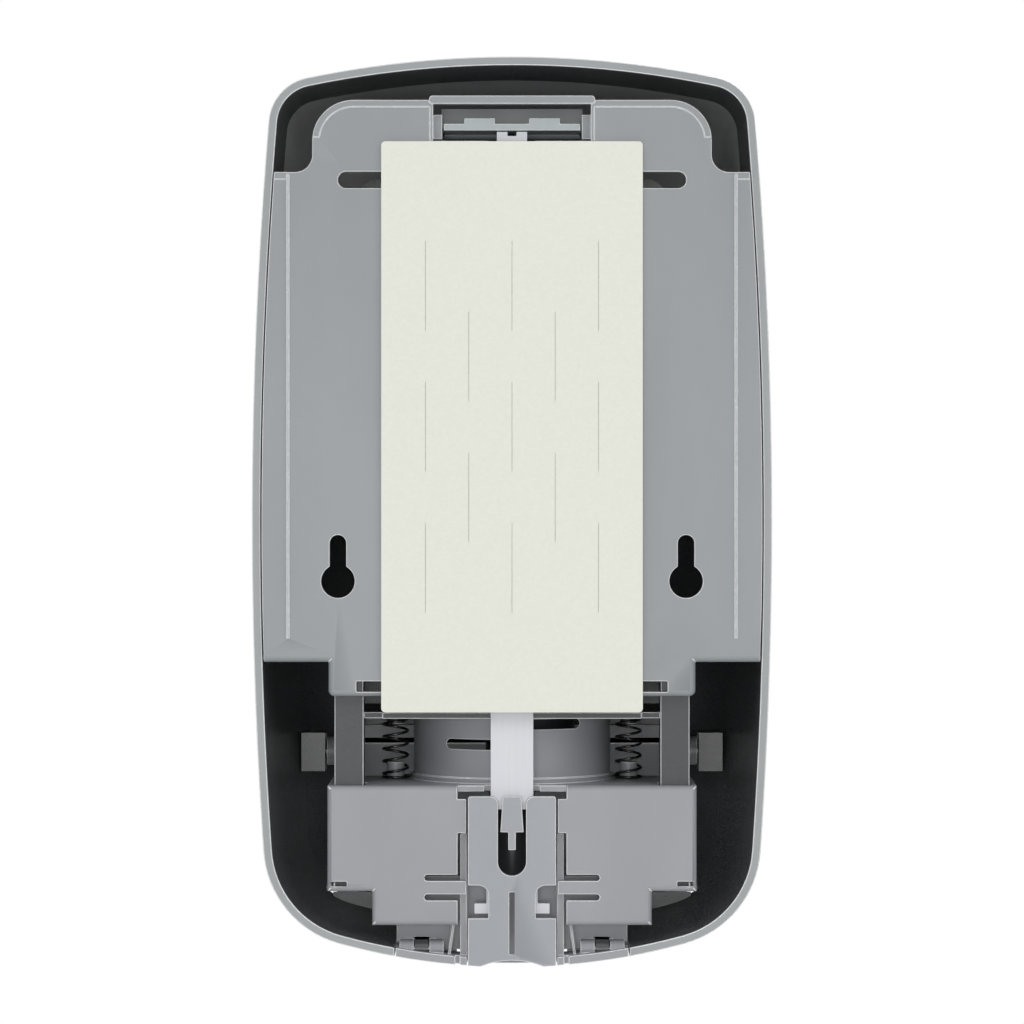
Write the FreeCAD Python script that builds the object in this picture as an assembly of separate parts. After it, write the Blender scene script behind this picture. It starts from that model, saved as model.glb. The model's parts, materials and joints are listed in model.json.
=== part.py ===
import FreeCAD, Part
import math
import os

# Wall mounted soap dispenser, millimetres.  +Z is up, the wall is on the +Y side and the
# front cover faces -Y.  The origin is on the rear face of the back plate, halfway between
# the seats of the two keyholes.

V = FreeCAD.Vector

# ---- Overall sizes -------------------------------------------------------------------
HOUSING_W = 152.0
TOP_Z = 142.1            # top of the housing above the keyhole seats
BOTTOM_Z = -123.8        # bottom of the housing below the keyhole seats
RIM_Y = -0.9             # rear edge of the cover
FRONT_Y = -106.4         # front face of the cover
COVER_WALL = 2.5
TOP_ARC_R = 295.0
BOTTOM_ARC_R = 191.0
SIDE_ARC_R = 1400.0
TOP_CORNER_R = 14.0
BOTTOM_CORNER_R = 30.0
CORNER_R_MIN = 3.0
DRAFT = 4.0              # how far the sides lean in over the depth
FRONT_ROUND = 22.0       # width of the rounding into the front face
SECTION_STEPS = (0.0, 0.35, 0.6, 0.75, 0.86, 0.93, 0.975, 1.0)

# ---- Clearances ----------------------------------------------------------------------
GAP = 0.4                # between parts that pass each other
PLATE_GAP = 0.4          # between back plate and cover
PIN_FIT = 0.05           # radial clearance of a pin in its bore
STEM_FIT = 0.1           # radial clearance of the pump stem

# ---- Back plate ----------------------------------------------------------------------
PLATE_T = 2.5
PLATE_WALL_H = 9.0       # stiffening wall on the front side
PLATE_WALL_T = 1.6
POCKET_DROP = 33.8       # upper corner pocket, from the top of the housing
TAB_TOP_DROP = 12.8      # top edge of the plate, from the top of the housing
TAB_INSET = 17.7         # side of the upper tab, from the side of the housing
TAB_CORNER_R = 12.0
POCKET_CORNER_R = 5.0
LIP_T = 10.0             # centre section below the plate's flanks
LIP_HALF = 53.6
RIB_INSET = 10.6         # long raised ribs, from the side of the housing
RIB_W = 0.6
RIB_H = 0.8
BAND_H = 0.5             # raised border along the upper tab
BAND_W = 2.0
FRAME_BAR_H = 1.0        # bar over the latch window
FRAME_BAR_RISE = 1.2
FRAME_BAR_R = 1.0
EDGE_ROLL_R = 1.8        # rounded lower edges

KEYHOLE_PITCH = 101.6
SCREW_SLOT_R = 2.4
KEYHOLE_ENTRY_R = 4.9
KEYHOLE_DROP = 11.1
UPPER_SLOT_DROP = 36.1   # slot centres, from the top of the housing
UPPER_SLOT_L = 14.8
UPPER_SLOT_PITCH = 86.8
LOWER_SLOT_L = 15.0
LOWER_SLOT_H = 3.1
LOWER_SLOT_OUT = 45.4

WINDOW_HALF = 23.0       # latch window
WINDOW_TOP_DROP = 14.0
WINDOW_BOTTOM_DROP = 24.7

# ---- Adhesive pad --------------------------------------------------------------------
PAD_W = 76.2
PAD_FOAM_T = 1.3
LINER_T = 0.3
PAD_CORNER_R = 1.2
PAD_TAIL = 4.6           # pad below the plate's lip
SLIT_COLUMN_PITCH = 12.6
SLIT_ROW_PITCH = 41.1
SLIT_L = 26.0
SLIT_W = 0.2
SLIT_ROWS = 3

# ---- Pump line -----------------------------------------------------------------------
PUMP_Y = -37.5           # vertical axis of the pump
SHELF_RISE = 52.9        # shelf top, from the bottom of the housing
SHELF_T = 1.8
SPRING_ROOM = 19.4       # between shelf and bridge
BRIDGE_T = 1.8
LIP_OVER_BRIDGE = 5.0    # plate's lip above the bridge
CRADLE_R = 29.6
CRADLE_T = 2.0
CRADLE_H = 24.9
NECK_SLOT_R = 19.4
STEM_R = 8.0
STEM_BORE_R = 3.0
FLANGE_R = 14.0
FLANGE_T = 2.0
NOZZLE_R = 7.0
NOZZLE_L = 29.0
TIP_L = 8.0
PUMP_R = 19.0
PUMP_DROP = 7.5          # pump body below the bridge
CHAMBER_R = 12.0
CHAMBER_H = 26.0
CAP_R = 24.5
CAP_H = 10.0

# ---- Pump carriage -------------------------------------------------------------------
WING_OUT = 54.0
WING_IN = 15.9
WING_STEP = 40.9
WING_SKIN_Y = -1.4
WING_SKIN_T = 2.2
WING_LOW_RISE = 12.1     # lower edge of the wings, from the bottom of the housing
WING_HIGH_RISE = 22.0
SHELF_FRONT_Y = -42.4
SHELF_NOSE_Y = -50.4
SHELF_NOSE_HALF = 33.0
ROD_NOTCH_HALF = 8.1     # the shelf's cut-out round the release rod
SHELF_TONGUE_HALF = 16.0 # the shelf stands back behind the button inside this
WING_TAB_IN = 13.4
WING_TAB_HIGH_RISE = 49.0
WING_TAB_LOW_RISE = 39.1
WING_FINGER_RISE = 21.2  # underside of the finger between the two slots
WING_FINGER_W = 3.9
WING_SLOT_W = 1.8
WING_SLOT_END = 25.6
WING_EDGE_R = 1.5
WING_SIDE_SLOT = (48.3, 53.0)
WING_SIDE_SLOT_RISE = 24.9
SPRING_X = 35.0
SPRING_Y = -32.4
SPRING_R = 4.1
SPRING_WIRE_R = 0.4
SPRING_TURNS = 4.5
SPIGOT_R = 2.6
WIRE_SIDES = 6           # facets round a spring's wire
WIRE_STEPS = 16          # facets along one turn

# ---- Lower frame ---------------------------------------------------------------------
COLUMN_IN = 43.5
COLUMN_OUT = 52.0
COLUMN_REAR_Y = -4.4
COLUMN_FRONT_Y = -14.4
COLUMN_FOOT_RISE = 22.8
WEB_FOOT_RISE = 12.3
BRIDGE_FRONT_Y = -56.4
BRIDGE_RAIL_Y = -5.0
BRIDGE_RAIL_HALF = 38.0
WEB_T = 3.0
WEB_REAR_Y = -10.0
WEB_RISE = 25.8
CHANNEL_HALF = 13.2
CHANNEL_WALL = 2.0
CHANNEL_RISE = 38.8
CHANNEL_REAR_Y = -4.1
SILL_HALF = 34.0
SILL_SKIN = 2.5
SILL_T = 2.5
SILL_END = 16.6          # the sill stops here, short of the channel
SILL_GROOVE = 2.6        # depth of the groove between sill and channel
SILL_RIB_T = 0.8
SILL_RIB_LEAN = 1.5
SILL_RIB_REAR_Y = -4.2
SILL_GAP = 0.35          # from the sill's ends to the cover
WEB_OPENING_HALF = 8.6

# ---- Cover hinge ---------------------------------------------------------------------
HINGE_Y = -6.4
HINGE_RISE = 4.8
HINGE_BARREL_R = 2.4
HINGE_PIN_R = 1.25
HINGE_X0 = 20.0
HINGE_X1 = 24.2
HINGE_X2 = 28.8
HINGE_X3 = 33.0
HINGE_NOTCH_Y = -15.0    # the cover's floor stops here over the sill

# ---- Release button, rod and key -----------------------------------------------------
BUTTON_HALF = 12.85
BUTTON_REAR_Y = -0.2
LINK_RISE = 28.6         # where the button is joined to the rod's legs
LINK_H = 3.0
BUTTON_T = 2.2
BUTTON_TOP_RISE = 49.9
BUTTON_WAIST = 6.9       # between the two side windows
BUTTON_WINDOW_RISE = 14.3
BUTTON_WINDOW_H = 9.6
BUTTON_WINDOW_R = 3.0
BUTTON_SLOT_HALF = 0.8
POST_OUTER_R = 0.8
POST_INNER_R = 2.3
POCKET_HALF = 4.1
POCKET_BOTTOM_RISE = 26.7
ROD_HALF = 6.25
ROD_REAR_Y = -2.7
ROD_T = 2.0
ROD_FOOT_HALF = 11.0
ROD_FOOT_RISE = 16.4
ROD_TIP_HALF = 4.45
ROD_FORK_DROP = 4.0      # the strip forks this far below the button's top
ROD_FORK_LAP = 1.2
ROD_LEG_IN = 4.5
ROD_LEG_OUT = 7.5
ROD_NOTCH = (1.3, 1.2)   # half width and depth of the notch in its tip
KEY_TOP_HALF = 2.7
KEY_HEAD_HALF = 3.4
KEY_HEAD_H = 10.5
KEY_STEM_HALF = 1.1
KEY_STEM_H = 5.2
KEY_REAR_Y = -0.5

# ---- Latch ---------------------------------------------------------------------------
LATCH_HALF = 20.0
LATCH_DROP = 21.4        # underside of the lever, from the top of the housing
LATCH_T = 2.0
LATCH_REAR_Y = -2.9
LATCH_PIVOT_Y = -16.4
LATCH_HOOK_Y = -24.9
LATCH_HOOK_T = 2.0
LATCH_HOOK_H = 3.3
LATCH_PIN_R = 1.25
LATCH_BARREL_R = 2.3
LATCH_BRACKET_T = 2.0    # bracket beside the window
HOOK_HALF = 12.0
CATCH_FIT = 0.3          # between the hook and the cover's catch
CATCH_T = 1.9
CATCH_RISE = 1.3         # catch's lower edge above the lever
CATCH_OVER_HOOK = 1.2    # room over the hook
CATCH_ARM_T = 2.0
CATCH_ARM_HALF = 21.0
CATCH_RIB_X = 15.0
CATCH_RIB_H = 6.0
CATCH_RIB_REAR_Y = -50.0
SKIRT_IN = 31.0          # stiffening rib behind the push bar's opening, from the middle
SKIRT_REAR_Y = -60.8
SKIRT_T = 1.4
SKIRT_RISE = 15.6

# ---- Push bar ------------------------------------------------------------------------
BAR_HALF = 56.0
BAR_TOP_RISE = 61.8
BAR_REAR_Y = -77.0
BAR_SWEEP = 13.0         # room behind its lower edge
BAR_SWEEP_RISE = 18.0
BAR_GAP = 1.0
BAR_LIP_IN = 3.0         # the bar's hidden top lip, from the side of its opening
BAR_LIP_T = 1.2
BAR_LIP_GAP = 1.3
BAR_LIP_H = 3.0
BAR_LIP_ROOT = 2.0
PIVOT_Y = -82.4
PIVOT_RISE = 57.8
PIVOT_PIN_R = 1.5
PIVOT_BOSS_R = 4.5
ARM_IN = 49.5
ARM_T = 3.0
ARM_TIP_Y = -39.4
EAR_T = 3.0
EAR_X = 58.5

# ---- Refill --------------------------------------------------------------------------
BOTTLE_HALF = 46.0
BOTTLE_REAR_Y = -10.4
BOTTLE_FRONT_Y = -72.4
BOTTLE_TOP_DROP = 34.0
BOTTLE_WALL = 1.2
BOTTLE_CORNER_R = 12.0
NECK_R = 16.0

# ---- Sight window --------------------------------------------------------------------
SIGHT_HALF = 8.0
SIGHT_Z0 = -4.0
SIGHT_Z1 = 76.0

# ---- Places that follow from the sizes above -----------------------------------------
HALF_W = HOUSING_W / 2.0
SIDE_ARC_Z = (TOP_Z + BOTTOM_Z) / 2.0 - 2.4
SHELF_Z = BOTTOM_Z + SHELF_RISE
BRIDGE_Z = SHELF_Z + SPRING_ROOM
BRIDGE_TOP_Z = BRIDGE_Z + BRIDGE_T
LIP_Z = BRIDGE_TOP_Z + LIP_OVER_BRIDGE
FLANK_Z = LIP_Z + LIP_T
POCKET_Z = TOP_Z - POCKET_DROP
TAB_Z = TOP_Z - TAB_TOP_DROP
TAB_HALF = HALF_W - TAB_INSET
WINDOW_TOP_Z = TOP_Z - WINDOW_TOP_DROP
WINDOW_BOTTOM_Z = TOP_Z - WINDOW_BOTTOM_DROP
PAD_TOP_Z = WINDOW_BOTTOM_Z - 0.3
PAD_BOTTOM_Z = LIP_Z - PAD_TAIL
HINGE_Z = BOTTOM_Z + HINGE_RISE
BUTTON_TOP_Z = BOTTOM_Z + BUTTON_TOP_RISE
BUTTON_FRONT_Y = BUTTON_REAR_Y - BUTTON_T
POCKET_BOTTOM_Z = BOTTOM_Z + POCKET_BOTTOM_RISE
ROD_FRONT_Y = ROD_REAR_Y - ROD_T
LATCH_Z = TOP_Z - LATCH_DROP
LATCH_PIVOT_Z = LATCH_Z + LATCH_T / 2.0
ROD_TOP_Z = LATCH_Z - GAP
PIVOT_Z = BOTTOM_Z + PIVOT_RISE
BAR_TOP_Z = BOTTOM_Z + BAR_TOP_RISE
COVER_INSIDE_Y = FRONT_Y + COVER_WALL
PUMP_BOTTOM_Z = BRIDGE_Z - PUMP_DROP
BOTTLE_BOTTOM_Z = BRIDGE_TOP_Z + CAP_H + 4.0
BOTTLE_TOP_Z = TOP_Z - BOTTLE_TOP_DROP
CHAMBER_TOP_Z = BRIDGE_TOP_Z + CHAMBER_H
PLATE_INSET = COVER_WALL + PLATE_GAP


# ---- Small helpers -------------------------------------------------------------------
def box(x0, x1, y0, y1, z0, z1):
    low = V(min(x0, x1), min(y0, y1), min(z0, z1))
    return Part.makeBox(abs(x1 - x0), abs(y1 - y0), abs(z1 - z0), low)


def cyl(radius, length, base, axis):
    return Part.makeCylinder(radius, length, base, axis)


def upright(radius, x, y, z0, z1):
    """A vertical cylinder."""
    return cyl(radius, z1 - z0, V(x, y, z0), V(0, 0, 1))


def across(radius, x0, x1, y, z):
    """A cylinder along X."""
    return cyl(radius, x1 - x0, V(x0, y, z), V(1, 0, 0))


def through(radius, x, z, y0, y1):
    """A cylinder along Y."""
    return cyl(radius, abs(y1 - y0), V(x, min(y0, y1), z), V(0, 1, 0))


def mirrored(shape):
    return shape.mirror(V(0, 0, 0), V(1, 0, 0))


def pair(shape):
    """The shape and its mirror image on the other side of X = 0."""
    return [shape, mirrored(shape)]


def fuse(shapes):
    return shapes[0].fuse(shapes[1:]).removeSplitter()


def prism_xz(points, y0, y1):
    """A straight-sided plate with its outline in X and Z, between two depths."""
    corners = [V(x, y0, z) for x, z in points]
    face = Part.Face(Part.makePolygon(corners + [corners[0]]))
    return face.extrude(V(0, y1 - y0, 0))


def prism_yz(points, x0, x1):
    corners = [V(x0, y, z) for y, z in points]
    face = Part.Face(Part.makePolygon(corners + [corners[0]]))
    return face.extrude(V(x1 - x0, 0, 0))


def rounded(shape, radius, direction):
    """Fillets every straight edge that runs along the direction."""
    edges = []
    for edge in shape.Edges:
        if edge.Curve.TypeId != "Part::GeomLine":
            continue
        if abs(edge.tangentAt(edge.FirstParameter).dot(direction)) > 0.999:
            edges.append(edge)
    return shape.makeFillet(radius, edges)


def slot_x(x, z, length, width, y0, y1):
    """A round-ended slot along X, cut through from y0 to y1."""
    r = width / 2.0
    reach = length / 2.0 - r
    bar = box(x - reach, x + reach, y0, y1, z - r, z + r)
    return fuse([bar, through(r, x - reach, z, y0, y1), through(r, x + reach, z, y0, y1)])


def coil(x, y, z0, z1, coil_r, wire_r, turns):
    """A coil spring between two heights, measured over its wire, its wire drawn with flat facets."""
    steps = int(turns * WIRE_STEPS)
    rings = []
    for k in range(steps + 1):
        turn = 2.0 * math.pi * turns * k / steps
        rise = z0 + wire_r + (z1 - z0 - 2.0 * wire_r) * k / steps
        ring = []
        for side in range(WIRE_SIDES):
            around = 2.0 * math.pi * side / WIRE_SIDES
            reach = coil_r + wire_r * math.cos(around)
            ring.append(V(x + reach * math.cos(turn), y + reach * math.sin(turn),
                          rise + wire_r * math.sin(around)))
        rings.append(ring)
    corners = [rings[0][::-1], rings[-1]]
    for low, high in zip(rings, rings[1:]):
        for side in range(WIRE_SIDES):
            after = (side + 1) % WIRE_SIDES
            corners.append([low[side], low[after], high[after]])
            corners.append([low[side], high[after], high[side]])
    faces = [Part.Face(Part.makePolygon(points + [points[0]])) for points in corners]
    body = Part.Solid(Part.makeShell(faces))
    if body.Volume < 0.0:
        body.reverse()
    return body


def circle_meet(c0, r0, c1, r1, side):
    """The crossing of two circles in X and Z that lies on the given side of X = 0."""
    dx = c1[0] - c0[0]
    dz = c1[1] - c0[1]
    dist = math.hypot(dx, dz)
    a = (r0 * r0 - r1 * r1 + dist * dist) / (2.0 * dist)
    h = math.sqrt(r0 * r0 - a * a)
    px = c0[0] + a * dx / dist
    pz = c0[1] + a * dz / dist
    found = [(px + h * dz / dist, pz - h * dx / dist), (px - h * dz / dist, pz + h * dx / dist)]
    if side > 0:
        return max(found)
    return min(found)


def outward(centre, radius, toward):
    """The point of a circle in the direction from its centre through another point."""
    dx = toward[0] - centre[0]
    dz = toward[1] - centre[1]
    scale = radius / math.hypot(dx, dz)
    return (centre[0] + dx * scale, centre[1] + dz * scale)


def outline(inset, y):
    """The housing's outline, moved inwards: four long arcs joined by corner arcs."""
    top_c = (0.0, TOP_Z - TOP_ARC_R)
    bottom_c = (0.0, BOTTOM_Z + BOTTOM_ARC_R)
    side_c = (HALF_W - SIDE_ARC_R, SIDE_ARC_Z)
    top_r = TOP_ARC_R - inset
    bottom_r = BOTTOM_ARC_R - inset
    side_r = SIDE_ARC_R - inset
    corner_t = max(TOP_CORNER_R - inset, CORNER_R_MIN)
    corner_b = max(BOTTOM_CORNER_R - inset, CORNER_R_MIN)
    ct = circle_meet(top_c, top_r - corner_t, side_c, side_r - corner_t, 1)
    cb = circle_meet(bottom_c, bottom_r - corner_b, side_c, side_r - corner_b, 1)
    a = outward(top_c, top_r, ct)
    b = outward(side_c, side_r, ct)
    c = outward(side_c, side_r, cb)
    d = outward(bottom_c, bottom_r, cb)
    mid_t = outward(ct, corner_t, ((a[0] + b[0]) / 2.0, (a[1] + b[1]) / 2.0))
    mid_b = outward(cb, corner_b, ((c[0] + d[0]) / 2.0, (c[1] + d[1]) / 2.0))
    side_m = (side_c[0] + side_r, SIDE_ARC_Z)

    def at(point, sign=1):
        return V(sign * point[0], y, point[1])

    arcs = [
        Part.Arc(at(a, -1), V(0, y, TOP_Z - inset), at(a)),
        Part.Arc(at(a), at(mid_t), at(b)),
        Part.Arc(at(b), at(side_m), at(c)),
        Part.Arc(at(c), at(mid_b), at(d)),
        Part.Arc(at(d), V(0, y, BOTTOM_Z + inset), at(d, -1)),
        Part.Arc(at(d, -1), at(mid_b, -1), at(c, -1)),
        Part.Arc(at(c, -1), at(side_m, -1), at(b, -1)),
        Part.Arc(at(b, -1), at(mid_t, -1), at(a, -1)),
    ]
    return Part.Wire([arc.toShape() for arc in arcs])


def outline_plate(inset, y0, y1):
    return Part.Face(outline(inset, y0)).extrude(V(0, y1 - y0, 0))


def cover_inset(t):
    """How far the cover's section has drawn in at the fraction t of its depth."""
    return DRAFT * t + FRONT_ROUND * (1.0 - math.sqrt(max(0.0, 1.0 - t ** 6)))


def cover_solid(wall):
    """The cover's outer form, or its hollow when a wall is given."""
    rear = RIM_Y
    front = FRONT_Y + wall
    wires = []
    for t in SECTION_STEPS:
        wires.append(outline(cover_inset(t) + wall, rear + (front - rear) * t))
    if wall > 0.0:
        wires.insert(0, outline(cover_inset(0.0) + wall, rear + 1.0))
    return Part.makeLoft(wires, True, True)


def save(name, shape):
    solids = shape.Solids
    good = shape.isValid() and len(solids) > 0 and all(s.Volume > 0 for s in solids)
    print(name, "solids", len(solids), "volume", round(shape.Volume, 1), "ok" if good else "BAD")
    if len(solids) == 1:
        shape = solids[0]
    else:
        shape = Part.makeCompound(solids)
    shape.exportStep("parts/" + name + ".step")


# ---- Back plate ----------------------------------------------------------------------
def back_plate():
    side = HALF_W
    rib_x = HALF_W - RIB_INSET
    upper = [
        (-side, FLANK_Z), (side, FLANK_Z), (side, POCKET_Z), (TAB_HALF, POCKET_Z),
        (TAB_HALF, TAB_Z), (-TAB_HALF, TAB_Z), (-TAB_HALF, POCKET_Z), (-side, POCKET_Z),
    ]
    sheet = prism_xz(upper, 0.0, -PLATE_T)
    tab_edges = []
    for edge in sheet.Edges:
        middle = edge.CenterOfMass
        if edge.BoundBox.YLength < 0.5 * PLATE_T:
            continue
        if abs(abs(middle.x) - TAB_HALF) < 0.01 and abs(middle.z - TAB_Z) < 0.01:
            tab_edges.append(edge)
    sheet = sheet.makeFillet(TAB_CORNER_R, tab_edges)
    again = [e for e in sheet.Edges if e.BoundBox.YLength > 0.5 * PLATE_T
             and abs(abs(e.CenterOfMass.x) - TAB_HALF) < 0.01
             and abs(e.CenterOfMass.z - POCKET_Z) < 0.01]
    sheet = sheet.makeFillet(POCKET_CORNER_R, again)
    sheet = sheet.common(outline_plate(PLATE_INSET, 0.0, -PLATE_T))
    lip = rounded(box(-LIP_HALF, LIP_HALF, 0.0, -PLATE_T, LIP_Z, FLANK_Z + 6.0), 1.8, V(0, 1, 0))
    flat = sheet.fuse(lip).removeSplitter()
    low_edges = []
    for edge in flat.Edges:
        middle = edge.CenterOfMass
        if edge.BoundBox.YLength < 0.01 and abs(middle.y) < 0.01 and middle.z < FLANK_Z + 0.5:
            low_edges.append(edge)
    flat = flat.makeFillet(EDGE_ROLL_R, low_edges)
    band_z = WINDOW_BOTTOM_Z + 1.0
    border = sheet.common(box(-side, side, 0.0, -PLATE_T, band_z, TAB_Z))
    border.translate(V(0, BAND_H, 0))
    inner = prism_xz([(-TAB_HALF + BAND_W, 0.0), (TAB_HALF - BAND_W, 0.0),
                      (TAB_HALF - BAND_W, TAB_Z - BAND_W), (-TAB_HALF + BAND_W, TAB_Z - BAND_W)], 5.0, -5.0)
    corners = [e for e in inner.Edges if e.BoundBox.YLength > 5.0 and e.CenterOfMass.z > 1.0]
    border = border.cut(inner.makeFillet(TAB_CORNER_R - BAND_W, corners))
    bar_half = WINDOW_HALF + 1.2
    frame_bar = rounded(box(-bar_half, bar_half, FRAME_BAR_H, -PLATE_T, WINDOW_TOP_Z, TAB_Z + FRAME_BAR_RISE),
                        FRAME_BAR_R, V(0, 1, 0))
    cheeks = pair(box(WINDOW_HALF, WINDOW_HALF + 1.0, BAND_H, -PLATE_T, WINDOW_BOTTOM_Z, WINDOW_TOP_Z + 1.0))
    side_band = pair(box(rib_x, side, BAND_H * 0.5, -PLATE_T, POCKET_Z - 2.1, POCKET_Z))
    side_band = [b.common(outline_plate(PLATE_INSET, 1.0, -PLATE_T)) for b in side_band]
    ring_out = outline_plate(PLATE_INSET + 5.0, -PLATE_T, -PLATE_T - PLATE_WALL_H)
    ring_in = outline_plate(PLATE_INSET + 5.0 + PLATE_WALL_T, -PLATE_T, -PLATE_T - PLATE_WALL_H)
    wall = ring_out.cut(ring_in)
    wall = wall.common(box(-side, side, 0.0, -30.0, FLANK_Z + 2.0, POCKET_Z - 2.0))
    cross = []
    for z in (FLANK_Z + 2.0, POCKET_Z - 2.0 - PLATE_WALL_T):
        bar = box(-side, side, -PLATE_T, -PLATE_T - PLATE_WALL_H * 0.6, z, z + PLATE_WALL_T)
        cross.append(bar.common(ring_out))
    ribs = []
    for sign in (-1, 1):
        x = sign * rib_x
        ribs.append(box(x - RIB_W / 2, x + RIB_W / 2, RIB_H, -0.5, FLANK_Z + 7.0, POCKET_Z - 0.8))
    floor_half = ROD_HALF + GAP + 1.6
    groove = box(-floor_half, floor_half, -PLATE_T, ROD_FRONT_Y - GAP - 1.6, LIP_Z, WINDOW_BOTTOM_Z)
    brackets = []
    for sign in (-1, 1):
        inner = sign * (LATCH_HALF + GAP)
        outer = sign * (WINDOW_HALF + LATCH_BRACKET_T)
        brackets.append(box(inner, outer, -PLATE_T, LATCH_PIVOT_Y - 3.6,
                            LATCH_PIVOT_Z - 3.6, LATCH_PIVOT_Z + 3.6))
    trim = [border, frame_bar] + cheeks + side_band
    plate = fuse([flat, wall] + cross + ribs + [groove] + brackets + trim)

    tools = []
    deep = -PLATE_T - 0.01
    for sign in (-1, 1):
        x = sign * KEYHOLE_PITCH / 2.0
        tools.append(through(SCREW_SLOT_R, x, 0.0, 1.0, deep))
        tools.append(box(x - SCREW_SLOT_R, x + SCREW_SLOT_R, 1.0, deep, -KEYHOLE_DROP, 0.0))
        tools.append(through(KEYHOLE_ENTRY_R, x, -KEYHOLE_DROP, 1.0, deep))
        tools.append(slot_x(sign * UPPER_SLOT_PITCH / 2.0, TOP_Z - UPPER_SLOT_DROP,
                            UPPER_SLOT_L, 2 * SCREW_SLOT_R, 1.0, -30.0))
        x0 = sign * LOWER_SLOT_OUT
        x1 = sign * (LOWER_SLOT_OUT - LOWER_SLOT_L)
        tools.append(box(x0, x1, 1.0, deep, LIP_Z + 1.3, LIP_Z + 1.3 + LOWER_SLOT_H))
    tools.append(box(-WINDOW_HALF, WINDOW_HALF, 1.0, -PLATE_T, WINDOW_BOTTOM_Z, WINDOW_TOP_Z))
    rod_room = ROD_HALF + GAP
    tools.append(box(-rod_room, rod_room, 1.0, ROD_FRONT_Y - GAP, LIP_Z - 1.0, WINDOW_BOTTOM_Z + 1.0))
    pin_room = LATCH_HALF + GAP + 3.0
    tools.append(across(LATCH_PIN_R, -pin_room, pin_room, LATCH_PIVOT_Y, LATCH_PIVOT_Z))
    return plate.cut(tools)


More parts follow.
